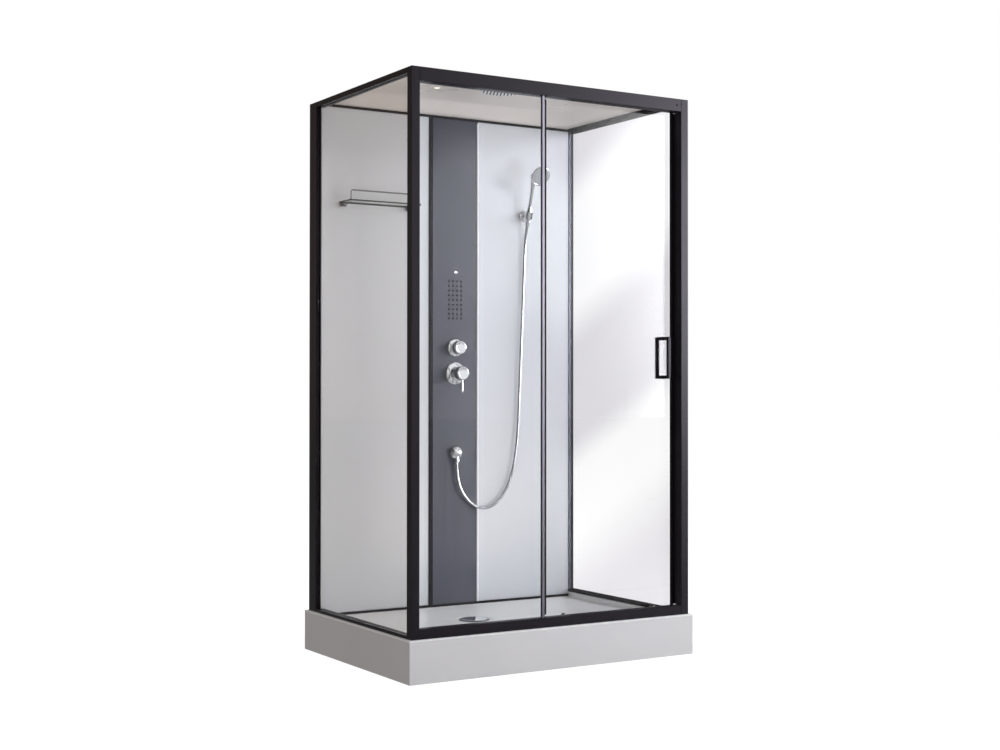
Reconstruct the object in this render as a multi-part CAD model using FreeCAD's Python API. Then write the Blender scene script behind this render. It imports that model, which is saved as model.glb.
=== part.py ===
"""Hydromassage shower cabin: a glazed rectangular cubicle with a sliding door on a moulded tray.

Millimetres. The origin is on the floor under the middle of the tray, X runs to the right along the
front, Y runs from the front to the back wall, and Z is up. Each sub-part is one file in parts/.
"""
import FreeCAD, Part
import math
import os
from FreeCAD import Rotation, Vector

# Overall sizes
tray_length = 1200.0
tray_depth = 850.0
rim_height = 150.0
frame_top = 2080.0

# Clearances shared by every fit
cut_over = 5.0
seat_gap = 0.3
hole_gap = 0.2
running_gap = 0.05

# Tray shell and its aprons
rim_thickness = 5.0
basin_floor_height = 130.0
floor_thickness = 5.0
basin_side_rim = 55.0
basin_front_rim = 62.0
basin_rear_margin = 12.0
basin_corner = 40.0
wall_ledge_height = 132.0
wall_ledge_width = 70.0
sump_radius = 72.0
sump_depth = 2.0
apron_thickness = 4.0
apron_floor_gap = 2.0
apron_return = 16.0

# Welded steel frame under the tray, and its levelling feet
beam_size = 30.0
beam_wall = 2.0
beam_front_inset = 175.0
beam_rear_inset = 255.0
beam_end_inset = 60.0
cross_beam_inset = 150.0
foot_pad_radius = 25.0
foot_pad_height = 9.0
foot_neck_radius = 12.0
foot_stud_radius = 6.0
foot_stud_reach = 15.0
foot_nut_radius = 10.5
foot_nut_height = 10.0
foot_end_inset = 40.0

# Drain
drain_x = -100.0
drain_y = 0.0
drain_pipe_radius = 42.0
drain_pipe_wall = 3.0
drain_pipe_drop = 22.0
drain_rim_radius = 58.0
drain_rim_thickness = 3.0
trap_radius = 56.0
trap_wall = 3.0
trap_collar_radius = 64.0
trap_collar_thickness = 5.0
trap_bottom_height = 38.0
outlet_radius = 20.0
outlet_wall = 2.5
outlet_height = 68.0
outlet_end_inset = 30.0
outlet_hub_radius = 24.0
outlet_spigot_length = 50.0
drain_cover_radius = 50.0
drain_cover_edge = 2.0
drain_cover_crown = 5.0
drain_skirt_depth = 12.0
drain_skirt_wall = 2.5

# Aluminium frame
frame_inset = 12.0
post_width = 32.0
rear_post_depth = 60.0
profile_wall = 2.0
channel_depth = 10.0
side_bottom_rail = 12.0
side_top_rail = 20.0
front_bottom_rail = 35.0
front_top_rail = 47.0
front_glass_setback = 10.0
ledge_width = 10.0
ledge_thickness = 3.0
roof_seat_drop = 4.0

# Glass
glass_thickness = 5.0
glass_gap = 0.3
glass_grip = 8.0
fixed_glass_end = -51.0
edge_profile_width = 10.0
edge_profile_depth = 9.0
edge_leg_setback = 15.0
edge_leg_reach = 14.0
edge_leg_thickness = 2.0

# Door track and rollers
track_reach = 10.2
track_thickness = 3.0
track_lip_height = 7.0
bottom_track_top = 168.0
wheel_width = 8.0
wheel_groove_gap = 0.4
wheel_bore_radius = 3.05
top_wheel_radius = 11.5
top_wheel_root = 9.0
bottom_wheel_radius = 9.0
bottom_wheel_root = 7.0
axle_head_radius = 5.0
axle_head_length = 2.0
carrier_flange_radius = 7.5
carrier_flange_length = 4.5
carrier_shank_radius = 5.0
carrier_cap_radius = 11.0
carrier_cap_length = 7.0
carrier_cap_bevel = 2.0
roller_inset = 93.0

# Sliding door
door_left = -29.0
door_end_gap = 1.0
door_edge_margin = 16.0
stile_width = 8.0
stile_depth = 12.0
stile_grip = 5.0
seal_width = 17.0
seal_overhang = 4.0
seal_depth = 11.0
seal_fin_thickness = 2.0
seal_fin_reach = 14.0
seal_lip_reach = 8.0
seal_end_gap = 3.0
jamb_depth = 28.0
jamb_groove = 6.0
handle_inset = 45.0
handle_height = 1110.0
handle_length = 157.0
handle_bar = 12.0
handle_standoff = 27.0
handle_round = 1.5
handle_stud_radius = 4.0
handle_rose_radius = 7.0
handle_rose_thickness = 2.0

# Back wall
panel_thickness = 8.0
trim_height = 10.0
trim_base = 4.0
trim_lip = 4.0
corner_front = 2.0
column_axis = 14.0
column_right_width = 103.0
mullion_offset = 112.0
mullion_width = 18.0
mullion_web = 4.0
panel_joint = 0.6

# Body jets and their manifold
jet_columns = 4
jet_rows = 9
jet_pitch = 18.5
jets_above_diverter = 191.0
jet_radius = 4.0
jet_tip_radius = 2.5
jet_nose = 3.0
manifold_margin = 14.0
manifold_depth = 22.0
manifold_round = 6.0
upper_jet_gap = 36.0
upper_jet_radius = 8.0
upper_jet_shank = 5.0
upper_jet_projection = 5.0
upper_jet_tail = 14.0

# Mixer, diverter and the brass block behind the column
mixer_height = 1055.0
mixer_rose_radius = 45.0
mixer_rose_edge = 3.0
mixer_rose_thickness = 9.0
mixer_sleeve_radius = 27.0
mixer_cavity_radius = 20.0
mixer_pivot_out = 8.0
mixer_ball_radius = 36.8
mixer_ball_wall = 2.5
mixer_mouth_radius = 18.0
mixer_cap_out = 66.0
mixer_cap_round = 3.0
mixer_neck_radius = 4.0
mixer_eye_radius = 6.0
mixer_pin_radius = 2.0
mixer_fork_radius = 10.0
mixer_fork_out = 15.0
mixer_stem_radius = 6.0
mixer_stem_depth = 20.0
mixer_stem_relief = 2.0
lever_radius = 4.0
lever_drop = 52.0
lever_bow = 4.0
lever_setback = 11.0
diverter_above_mixer = 102.0
diverter_rose_radius = 36.0
diverter_rose_edge = 3.0
diverter_rose_thickness = 8.0
diverter_knob_radius = 27.5
diverter_knob_waist = 24.0
diverter_knob_out = 46.0
diverter_knob_round = 3.0
diverter_stem_radius = 4.0
diverter_stem_depth = 16.0
diverter_mark_radius = 2.0
diverter_mark_height = 1.0
valve_neck_radius = 17.0
mixer_block_width = 90.0
mixer_block_height = 54.0
valve_block_depth = 45.0
diverter_block_width = 52.0
diverter_block_height = 46.0
valve_link_radius = 9.0
inlet_offset = 28.0
inlet_radius = 10.45
inlet_length = 15.0

# Hose outlet elbow
elbow_below_mixer = 316.0
elbow_dome_radius = 28.0
elbow_dome_edge = 4.0
elbow_dome_out = 26.0
outlet_out = 14.0
elbow_drop = 41.0
elbow_nut_radius = 9.5
elbow_nut_height = 13.0
elbow_nut_tip = 8.0
elbow_nut_taper = 3.0
elbow_shank_radius = 8.0
elbow_tail = 26.0

# Hand shower and its holder
holder_side_distance = 222.0
holder_height = 1700.0
holder_rose_radius = 23.0
holder_rose_edge = 4.0
holder_rose_thickness = 9.0
holder_arm_radius = 9.0
holder_out = 41.0
holder_ring_radius = 17.5
holder_ring_half = 14.0
holder_slot = 15.0
hand_lean = 15.0
hand_cone_low = 11.0
hand_cone_high = 12.6
hand_grip_radius = 7.0
hand_grip_taper = 20.0
hand_grip_length = 125.0
hand_foot = 22.0
hand_nut_low = 45.0
hand_nut_radius = 10.0
hand_nut_tip = 8.5
hand_nut_taper = 6.0
hand_flare_start = 80.0
hand_flare_width = 33.0
hand_flare_thickness = 9.5
hand_flare_steps = 4
hand_neck_bend = 45.0
hand_neck_turn = 65.0
head_forward = 51.0
head_up = 167.0
head_turn = 105.0
head_radius = 42.0
head_edge = 5.0
head_shoulder = 34.0
head_shoulder_depth = 14.0
head_crown = 20.0
head_depth = 26.0
face_radius = 34.0
face_rise = 1.5
face_ring_shares = ((8, 0.38), (14, 0.70))
face_nozzle_radius = 1.5
face_nozzle_height = 1.2

# Shower hose, seen end to end: points in plan X, Y and height
hose_radius = 5.5
hose_arc_share = 0.45
hose_top_run = 60.0
hose_route = (
    (14.0, 331.0, 698.0),
    (14.0, 331.0, 650.0),
    (29.0, 330.0, 595.0),
    (64.0, 329.0, 546.0),
    (114.0, 328.0, 514.0),
    (170.0, 328.0, 516.0),
    (220.0, 328.0, 553.0),
    (256.0, 328.0, 612.0),
    (279.0, 328.0, 686.0),
    (292.0, 328.5, 764.0),
    (299.0, 329.0, 845.0),
)

# Glass shelf with a gallery rail
shelf_height = 1708.0
shelf_side_margin = 62.0
shelf_mullion_margin = 83.0
shelf_depth = 95.0
shelf_thickness = 6.0
shelf_corner = 6.0
gallery_rise = 35.0
gallery_radius = 3.0
gallery_inset = 7.0
gallery_bend = 7.0
gallery_foot_radius = 6.0
gallery_foot_height = 2.0
bracket_inset = 12.0
bracket_width = 18.0
bracket_depth = 26.0
bracket_height = 14.0
bracket_round = 3.0

# Moulded roof, rain shower and ceiling light
roof_thickness = 4.0
roof_edge_gap = 1.0
dome_rise = 48.0
dome_side_margin = 40.0
dome_front_margin = 45.0
dome_side_slope = 85.0
dome_front_slope = 146.0
dome_rear_slope = 85.0
dome_base_corner = 100.0
dome_top_corner = 60.0
rain_x = -30.0
rain_y = -80.0
rain_radius = 80.0
rain_edge = 5.0
rain_shoulder = 69.0
rain_drop = 20.0
rain_body = 11.0
rain_neck_radius = 16.0
rain_spigot_radius = 7.0
rain_spigot_height = 6.0
rain_ring_shares = ((8, 0.25), (16, 0.53), (24, 0.82))
rain_nozzle_radius = 2.6
rain_nozzle_height = 2.5
light_inset = 196.0
light_y = 49.0
light_radius = 18.0
light_lens_radius = 13.0
light_thickness = 6.0
light_bevel = 3.0

# Pipes behind the wall and over the roof
pipe_radius = 7.0
pipe_bend = 22.0
pipe_setback = 14.0
hose_pipe_offset = 68.0
rain_pipe_offset = 78.0
roof_pipe_bend = 8.0
roof_pipe_rise = 12.0
roof_pipe_turn_y = 290.0

# Planes that many pieces share
frame_x = tray_length / 2 - frame_inset
frame_y = tray_depth / 2 - frame_inset
inner_x = frame_x - post_width
front_inner_y = post_width - frame_y
wall_back = frame_y - rear_post_depth
wall_front = wall_back - panel_thickness
rear_rail_front = frame_y - post_width
channel_width = glass_thickness + 2 * glass_gap
side_glass_x = frame_x - post_width / 2
side_glass_inside = side_glass_x - glass_thickness / 2
front_glass_y = front_glass_setback - frame_y
front_opening_low = rim_height + front_bottom_rail
front_opening_high = frame_top - front_top_rail
side_opening_low = rim_height + side_bottom_rail
side_opening_high = frame_top - side_top_rail
roof_seat = frame_top - roof_seat_drop
track_y = front_inner_y + track_reach
top_track_top = front_opening_high + track_thickness + track_lip_height
door_front = track_y + wheel_width / 2 + seat_gap + carrier_flange_length
door_back = door_front + glass_thickness
door_middle = (door_front + door_back) / 2
door_right = inner_x - door_end_gap
door_low = bottom_track_top - track_lip_height - track_thickness
handle_x = door_right - handle_inset
top_axle_height = top_track_top + seat_gap + top_wheel_root
bottom_axle_height = bottom_track_top + seat_gap + bottom_wheel_root
door_high = top_axle_height + door_edge_margin
panel_low = wall_ledge_height + trim_base
panel_high = roof_seat - trim_base
mullion_x = column_axis - mullion_offset
column_right = column_axis + column_right_width
shelf_left = shelf_side_margin - inner_x
shelf_right = mullion_x - mullion_width / 2 - shelf_mullion_margin
shelf_width = shelf_right - shelf_left
shelf_x = (shelf_left + shelf_right) / 2
holder_x = inner_x - holder_side_distance
dome_base_x = inner_x - dome_side_margin
dome_base_y = -front_inner_y - dome_front_margin
dome_top_x = dome_base_x - dome_side_slope
dome_top_y = dome_base_y - (dome_front_slope + dome_rear_slope) / 2
dome_top_shift = (dome_front_slope - dome_rear_slope) / 2
light_x = light_inset - dome_top_x
diverter_height = mixer_height + diverter_above_mixer
jet_centre_height = diverter_height + jets_above_diverter
upper_jet_height = jet_centre_height + jet_pitch * (jet_rows - 1) / 2 + upper_jet_gap
elbow_height = mixer_height - elbow_below_mixer
sump_height = basin_floor_height - sump_depth
under_basin = basin_floor_height - floor_thickness
roof_top = roof_seat + roof_thickness + dome_rise
ceiling_height = roof_top - roof_thickness
pipe_y = wall_back + pipe_setback
out_of_wall = Vector(0, -1, 0)
up = Vector(0, 0, 1)


def block(x, y, z):
    """Box between two limits on each axis."""
    low = [min(pair) for pair in (x, y, z)]
    size = [max(pair) - min(pair) for pair in (x, y, z)]
    return Part.makeBox(size[0], size[1], size[2], Vector(*low))


def around(centre, width):
    """Limits of a width that straddles a centre."""
    return (centre - width / 2, centre + width / 2)


def rod(start, end, radius):
    """Round bar between two points."""
    line = end - start
    return Part.makeCylinder(radius, line.Length, start, line)


def turned(profile, base, direction):
    """Solid turned about a line: (radius, height) corners, or (via, via, to, to) for an arc."""
    edges = []
    here = Vector(profile[0][0], 0, profile[0][1])
    first = here
    for corner in profile[1:]:
        there = Vector(corner[-2], 0, corner[-1])
        if len(corner) > 2:
            edges.append(Part.Arc(here, Vector(corner[0], 0, corner[1]), there).toShape())
        else:
            edges.append(Part.LineSegment(here, there).toShape())
        here = there
    edges.append(Part.LineSegment(here, first).toShape())
    solid = Part.Face(Part.Wire(edges)).revolve(Vector(0, 0, 0), up, 360)
    solid.Placement = FreeCAD.Placement(base, Rotation(up, direction))
    return solid


def hexagon(centre, radius, height):
    """Upright six-sided bar, up or down from the centre of one end."""
    turns = [math.radians(60 * side) for side in range(7)]
    corners = [centre + Vector(radius * math.cos(turn), radius * math.sin(turn), 0) for turn in turns]
    return Part.Face(Part.makePolygon(corners)).extrude(Vector(0, 0, height))


def fused(pieces):
    """One solid from pieces that meet, with the seams between flush faces removed."""
    return pieces[0].fuse(list(pieces[1:])).removeSplitter()


def rounded_rectangle(half_x, half_y, corner, height):
    """Closed outline of a rectangle with round corners, about the Z axis."""
    swing = corner * math.cos(math.radians(45))
    edges = []
    centres = ((1, 1), (-1, 1), (-1, -1), (1, -1))
    ends = []
    for sx, sy in centres:
        middle = Vector(sx * (half_x - corner), sy * (half_y - corner), height)
        along_x = middle + Vector(sx * corner, 0, 0)
        along_y = middle + Vector(0, sy * corner, 0)
        bulge = middle + Vector(sx * swing, sy * swing, 0)
        start, end = (along_x, along_y) if sx * sy > 0 else (along_y, along_x)
        ends.append((start, bulge, end))
    for index, (start, bulge, end) in enumerate(ends):
        edges.append(Part.Arc(start, bulge, end).toShape())
        edges.append(Part.LineSegment(end, ends[(index + 1) % len(ends)][0]).toShape())
    return Part.Wire(edges)


def rounded_block(x, y, z, corner):
    """Upright block with round plan corners."""
    wire = rounded_rectangle((x[1] - x[0]) / 2, (y[1] - y[0]) / 2, corner, z[0])
    solid = Part.Face(wire).extrude(Vector(0, 0, z[1] - z[0]))
    solid.translate(Vector((x[0] + x[1]) / 2, (y[0] + y[1]) / 2, 0))
    return solid


def bent_tube(points, radius, bends=None, label=None):
    """Round tube along straight runs joined by tangent arcs, with one bend radius for each corner.

    With no bend radii given, each arc is as large as its runs allow, as a hose lies.
    """
    points = [Vector(*point) for point in points]
    edges = []
    radii = []
    here = points[0]
    for index, corner in enumerate(points[1:-1]):
        before = points[index]
        after = points[index + 2]
        arrive = (corner - before).normalize()
        leave = (after - corner).normalize()
        half = arrive.getAngle(leave) / 2
        shorter = min((corner - before).Length, (after - corner).Length)
        size = bends[index] if bends else hose_arc_share * shorter / math.tan(half)
        tangent = size * math.tan(half)
        inward = (leave - arrive).normalize()
        start = corner - arrive * tangent
        end = corner + leave * tangent
        middle = corner + inward * (size / math.cos(half) - size)
        if (start - here).Length > seat_gap:
            edges.append(Part.LineSegment(here, start).toShape())
        edges.append(Part.Arc(start, middle, end).toShape())
        radii.append(size)
        here = end
    edges.append(Part.LineSegment(here, points[-1]).toShape())
    path = Part.Wire(edges)
    first = (points[1] - points[0]).normalize()
    section = Part.Wire(Part.makeCircle(radius, points[0], first))
    tube = path.makePipeShell([section], True, False)
    if label:
        print(label, "length", round(path.Length, 1), "radii", [round(size) for size in radii],
              "volume over section times length",
              round(tube.Volume / (math.pi * radius ** 2 * path.Length), 5))
    return tube


def tray_basin():
    """Acrylic tray: a flat rim, a shallow basin with a drain sump, and the ledge of the back wall."""
    half_x = tray_length / 2
    half_y = tray_depth / 2
    main_x = (basin_side_rim - half_x, half_x - basin_side_rim)
    main_y = (basin_front_rim - half_y, wall_front - basin_rear_margin)
    ledge_x = (-inner_x, inner_x)
    ledge_y = (wall_back - wall_ledge_width, wall_back)
    open_z = rim_height + cut_over
    wall = floor_thickness
    rim = block((-half_x, half_x), (-half_y, half_y), (rim_height - rim_thickness, rim_height))
    bowl = rounded_block((main_x[0] - wall, main_x[1] + wall), (main_y[0] - wall, wall_back + wall),
                         (under_basin, rim_height), basin_corner)
    shelf = block((ledge_x[0] - wall, ledge_x[1] + wall), (ledge_y[0] - wall, ledge_y[1] + wall),
                  (wall_ledge_height - floor_thickness, rim_height))
    sump = Part.makeCylinder(sump_radius + wall, floor_thickness,
                             Vector(drain_x, drain_y, sump_height - floor_thickness))
    shell = fused([rim, bowl, shelf, sump])
    shell = shell.cut(rounded_block(main_x, main_y, (basin_floor_height, open_z), basin_corner))
    shell = shell.cut(block(ledge_x, ledge_y, (wall_ledge_height, open_z)))
    shell = shell.cut(Part.makeCylinder(sump_radius, open_z, Vector(drain_x, drain_y, sump_height)))
    return shell.cut(Part.makeCylinder(drain_pipe_radius + hole_gap, open_z, Vector(drain_x, drain_y, 0)))


def apron_front():
    """Front skirt panel under the tray's rim, turned in along its foot."""
    half_x = tray_length / 2
    front = -tray_depth / 2
    top = rim_height - rim_thickness
    foot = apron_floor_gap + apron_thickness
    panel = block((-half_x, half_x), (front, front + apron_thickness), (apron_floor_gap, top))
    inside = half_x - apron_thickness
    turn_in = block((-inside, inside), (front, front + apron_return), (apron_floor_gap, foot))
    return fused([panel, turn_in])


def side_aprons():
    """Left and right skirt panels, behind the front one."""
    top = rim_height - rim_thickness
    foot = apron_floor_gap + apron_thickness
    panels = []
    for side in (-1, 1):
        edge = side * tray_length / 2
        run = (apron_thickness - tray_depth / 2, tray_depth / 2)
        short = (apron_return - tray_depth / 2, tray_depth / 2)
        panel = block((edge, edge - side * apron_thickness), run, (apron_floor_gap, top))
        turn_in = block((edge, edge - side * apron_return), short, (apron_floor_gap, foot))
        panels.append(fused([panel, turn_in]))
    return Part.makeCompound(panels)


def beam_lines():
    """Centre lines of the two long beams in Y, and of the cross beams and feet in X."""
    long_y = (beam_front_inset - tray_depth / 2, tray_depth / 2 - beam_rear_inset)
    cross_x = tray_length / 2 - cross_beam_inset
    return long_y, (-cross_x, cross_x)


def tray_frame():
    """Welded square-tube frame that carries the basin."""
    long_y, cross_x = beam_lines()
    top = under_basin
    z = (top - beam_size, top)
    hollow_z = (z[0] + beam_wall, z[1] - beam_wall)
    half_x = tray_length / 2 - beam_end_inset
    tubes = [block((-half_x, half_x), around(y, beam_size), z) for y in long_y]
    hollows = [block((-half_x - cut_over, half_x + cut_over), around(y, beam_size - 2 * beam_wall), hollow_z)
               for y in long_y]
    for x in cross_x:
        tubes.append(block(around(x, beam_size), long_y, z))
        hollows.append(block(around(x, beam_size - 2 * beam_wall), long_y, hollow_z))
    frame = fused(tubes)
    for hollow in hollows:
        frame = frame.cut(hollow)
    for x, y in foot_places():
        drill = foot_stud_radius + seat_gap
        frame = frame.cut(Part.makeCylinder(drill, beam_wall + 2 * cut_over, Vector(x, y, z[0] - cut_over)))
    return frame


def foot_places():
    """Plan places of the levelling feet: the beams' ends."""
    long_y, cross_x = beam_lines()
    end_x = tray_length / 2 - beam_end_inset - foot_end_inset
    return [(x, y) for x in (-end_x, 0, end_x) for y in long_y]


def levelling_feet():
    """Threaded feet with plastic pads, each locked by a nut under its beam."""
    beam_low = under_basin - beam_size
    pieces = []
    for x, y in foot_places():
        base = Vector(x, y, 0)
        foot = turned([(0, 0), (foot_pad_radius, 0), (foot_pad_radius, foot_pad_height / 2),
                       (foot_neck_radius, foot_pad_height), (foot_stud_radius, foot_pad_height),
                       (foot_stud_radius, beam_low + foot_stud_reach), (0, beam_low + foot_stud_reach)],
                      base, up)
        nut = hexagon(Vector(x, y, beam_low), foot_nut_radius, -foot_nut_height)
        bore = Part.makeCylinder(foot_stud_radius + hole_gap, beam_low, base)
        pieces += [foot, nut.cut(bore)]
    return Part.makeCompound(pieces)


def drain_flange():
    """Chromed drain ring in the sump, with the pipe that passes through the floor."""
    inner = drain_pipe_radius - drain_pipe_wall
    ring = drain_rim_thickness
    return turned([(inner, ring), (inner, -drain_pipe_drop), (drain_pipe_radius, -drain_pipe_drop),
                   (drain_pipe_radius, 0), (drain_rim_radius, 0), (drain_rim_radius - ring / 2, ring)],
                  Vector(drain_x, drain_y, sump_height), up)


def drain_trap():
    """Water trap clamped under the floor, with a hub and a waste spigot to the rear."""
    centre = Vector(drain_x, drain_y, 0)
    top = sump_height - floor_thickness
    collar = top - trap_collar_thickness
    cup = turned([(0, trap_bottom_height), (trap_radius, trap_bottom_height), (trap_radius, collar),
                  (trap_collar_radius, collar), (trap_collar_radius, top), (0, top)], centre, up)
    end = Vector(drain_x, tray_depth / 2 - outlet_end_inset, outlet_height)
    axis = Vector(drain_x, drain_y, outlet_height)
    shoulder = end - Vector(0, outlet_spigot_length, 0)
    body = fused([cup, rod(axis, shoulder, outlet_hub_radius), rod(axis, end, outlet_radius)])
    inside = trap_radius - trap_wall
    body = body.cut(rod(axis, end + Vector(0, cut_over, 0), outlet_radius - outlet_wall))
    return body.cut(Part.makeCylinder(inside, top, Vector(drain_x, drain_y, trap_bottom_height + trap_wall)))


def drain_cover():
    """Loose crowned drain cover, located by its skirt in the ring."""
    skirt = drain_pipe_radius - drain_pipe_wall - seat_gap
    crown = drain_cover_edge + drain_cover_crown
    sphere = (drain_cover_radius ** 2 + drain_cover_crown ** 2) / (2 * drain_cover_crown)
    half = drain_cover_radius / 2
    half_crown = crown - sphere + math.sqrt(sphere ** 2 - half ** 2)
    return turned([(0, 0), (skirt - drain_skirt_wall, 0), (skirt - drain_skirt_wall, -drain_skirt_depth),
                   (skirt, -drain_skirt_depth), (skirt, 0), (drain_cover_radius, 0),
                   (drain_cover_radius, drain_cover_edge), (half, half_crown, 0, crown)],
                  Vector(drain_x, drain_y, sump_height + drain_rim_thickness + seat_gap), up)


def front_post(side, front_channel):
    """Square corner extrusion, capped at its top: a chamber, and a glass channel on each glazed side."""
    outer_x = side * frame_x
    chamber = post_width - 2 * profile_wall - channel_depth
    z = (rim_height, frame_top)
    cut_z = (rim_height - cut_over, frame_top - profile_wall)
    near_x = outer_x - side * profile_wall
    near_y = profile_wall - frame_y
    post = block((outer_x, side * inner_x), (-frame_y, front_inner_y), z)
    post = post.cut(block((near_x, near_x - side * chamber), (near_y, near_y + chamber), cut_z))
    post = post.cut(block(around(side * side_glass_x, channel_width),
                          (front_inner_y - channel_depth, front_inner_y + cut_over), cut_z))
    if front_channel:
        mouth = side * inner_x
        post = post.cut(block((mouth + side * channel_depth, mouth - side * cut_over),
                              around(front_glass_y, channel_width), cut_z))
    return post


def rear_post(side):
    """Deep rear corner extrusion, capped at its top, that carries the side glass and the back wall."""
    outer_x = side * frame_x
    cut_z = (rim_height - cut_over, frame_top - profile_wall)
    post = block((outer_x, side * inner_x), (wall_back, frame_y), (rim_height, frame_top))
    chamber_x = (outer_x - side * profile_wall, side * (inner_x + profile_wall))
    chamber_y = (wall_back + channel_depth + profile_wall, frame_y - profile_wall)
    post = post.cut(block(chamber_x, chamber_y, cut_z))
    return post.cut(block(around(side * side_glass_x, channel_width),
                          (wall_back - cut_over, wall_back + channel_depth), cut_z))


def channel_limits(z, mouth):
    """Height limits of the cut for a rail's glass channel, open at its top or at its underside."""
    if mouth > 0:
        return (z[1] - channel_depth, z[1] + cut_over)
    return (z[0] - cut_over, z[0] + channel_depth)


def side_rail(side, z, mouth):
    """Side extrusion between two posts: a glass channel, open up or down, between two chambers."""
    run = (front_inner_y, wall_back)
    cut_run = (run[0] - cut_over, run[1] + cut_over)
    rail = block((side * frame_x, side * inner_x), run, z)
    inside_z = (z[0] + profile_wall, z[1] - profile_wall)
    for edge, way in ((frame_x, -1), (inner_x, 1)):
        start = edge + way * profile_wall
        end = side_glass_x - way * (channel_width / 2 + profile_wall)
        rail = rail.cut(block((side * start, side * end), cut_run, inside_z))
    channel_z = channel_limits(z, mouth)
    return rail.cut(block(around(side * side_glass_x, channel_width), cut_run, channel_z))


def bottom_side_rail(side):
    """Lower side rail, on the tray's rim."""
    return side_rail(side, (rim_height, side_opening_low), 1)


def top_side_rail(side):
    """Upper side rail, with the inner ledge that carries the roof."""
    rail = side_rail(side, (side_opening_high, frame_top), -1)
    ledge = block((side * inner_x, side * (inner_x - ledge_width)),
                  (front_inner_y + ledge_width, wall_front - trim_lip),
                  (roof_seat - ledge_thickness, roof_seat))
    return fused([rail, ledge])


def front_rail(z, mouth, track_top):
    """Front extrusion: a glass channel, a chamber, and an upturned track lip for the door's rollers."""
    x = (-inner_x, inner_x)
    cut_x = (x[0] - cut_over, x[1] + cut_over)
    lip_y = around(track_y, track_thickness)
    arm_top = track_top - track_lip_height
    rail = block(x, (-frame_y, front_inner_y), z)
    arm = block(x, (front_inner_y, lip_y[1]), (arm_top - track_thickness, arm_top))
    lip = block(x, lip_y, (arm_top, track_top))
    rail = fused([rail, arm, lip])
    chamber_y = (front_glass_y + channel_width / 2 + profile_wall, front_inner_y - profile_wall)
    rail = rail.cut(block(cut_x, chamber_y, (z[0] + profile_wall, z[1] - profile_wall)))
    channel_z = channel_limits(z, mouth)
    return rail.cut(block(cut_x, around(front_glass_y, channel_width), channel_z))


def rail_bottom_front():
    """Lower front rail and door track."""
    return front_rail((rim_height, front_opening_low), 1, bottom_track_top)


def rail_top_front():
    """Upper front rail and door track, with the inner ledge that carries the roof."""
    rail = front_rail((front_opening_high, frame_top), -1, top_track_top)
    ledge = block((-inner_x, inner_x), (front_inner_y, front_inner_y + ledge_width),
                  (roof_seat - ledge_thickness, roof_seat))
    return fused([rail, ledge])


def rail_top_rear():
    """Square tube between the rear posts."""
    y = (rear_rail_front, frame_y)
    z = (side_opening_high, frame_top)
    rail = block((-inner_x, inner_x), y, z)
    return rail.cut(block((-inner_x - cut_over, inner_x + cut_over),
                          (y[0] + profile_wall, y[1] - profile_wall),
                          (z[0] + profile_wall, z[1] - profile_wall)))


def fixed_glass_front():
    """Fixed pane on the left of the front."""
    return block((-inner_x - glass_grip, fixed_glass_end - edge_profile_width + glass_grip),
                 around(front_glass_y, glass_thickness),
                 (front_opening_low - glass_grip, front_opening_high + glass_grip))


def fixed_glass_profile():
    """Upright edge profile on the free edge of the fixed pane, with a leg behind it that laps the door's fin."""
    x = (fixed_glass_end - edge_profile_width, fixed_glass_end)
    z = (front_opening_low, front_opening_high)
    bar = block(x, around(front_glass_y, edge_profile_depth), z)
    back = front_glass_y + edge_profile_depth / 2
    leg_back = back + edge_leg_setback
    web = block((x[1] - edge_leg_thickness, x[1]), (back, leg_back), z)
    leg = block((x[1], x[1] + edge_leg_reach), (leg_back - edge_leg_thickness, leg_back), z)
    bar = fused([bar, web, leg])
    return bar.cut(block((x[0] - cut_over, x[0] + glass_grip + glass_gap),
                         around(front_glass_y, channel_width), (z[0] - cut_over, z[1] + cut_over)))


def side_glass(side):
    """Side pane, held in its posts and rails."""
    return block(around(side * side_glass_x, glass_thickness),
                 (front_inner_y - glass_grip, wall_back + glass_grip),
                 (side_opening_low - glass_grip, side_opening_high + glass_grip))


def door_jamb():
    """Closing strip on the right post, with a groove for its magnet."""
    x = (door_right + seat_gap, side_glass_inside)
    y = (front_inner_y, front_inner_y + jamb_depth)
    z = (front_opening_low, front_opening_high)
    strip = block(x, y, z)
    groove_x = (x[0] - cut_over, x[0] + jamb_groove / 2)
    return strip.cut(block(groove_x, around(door_middle, jamb_groove), (z[0] - cut_over, z[1] + cut_over)))


def axle_places():
    """Place of each roller's axle in X and Z, with its wheel radius and groove root."""
    left = door_left + roller_inset
    right = door_right - roller_inset
    top = (top_axle_height, top_wheel_radius, top_wheel_root)
    bottom = (bottom_axle_height, bottom_wheel_radius, bottom_wheel_root)
    return {
        "roller_top_left": (left,) + top,
        "roller_top_right": (right,) + top,
        "roller_bottom_left": (left,) + bottom,
        "roller_bottom_right": (right,) + bottom,
    }


def door_glass():
    """Sliding pane, drilled for the roller carriers and the handle studs."""
    pane = block((door_left, door_right - stile_width + stile_grip), (door_front, door_back),
                 (door_low, door_high))
    across = Vector(0, glass_thickness + 2 * cut_over, 0)
    for x, z, wheel, root in axle_places().values():
        start = Vector(x, door_front - cut_over, z)
        pane = pane.cut(rod(start, start + across, carrier_shank_radius + hole_gap))
    for z in handle_stud_heights():
        start = Vector(handle_x, door_front - cut_over, z)
        pane = pane.cut(rod(start, start + across, handle_stud_radius + hole_gap))
    return pane


def door_stile():
    """Upright profile on the closing edge of the door."""
    x = (door_right - stile_width, door_right)
    bar = block(x, around(door_middle, stile_depth), (door_low, door_high))
    return bar.cut(block((x[0] - cut_over, x[0] + stile_grip + glass_gap), around(door_middle, channel_width),
                         (door_low - cut_over, door_high + cut_over)))


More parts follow.
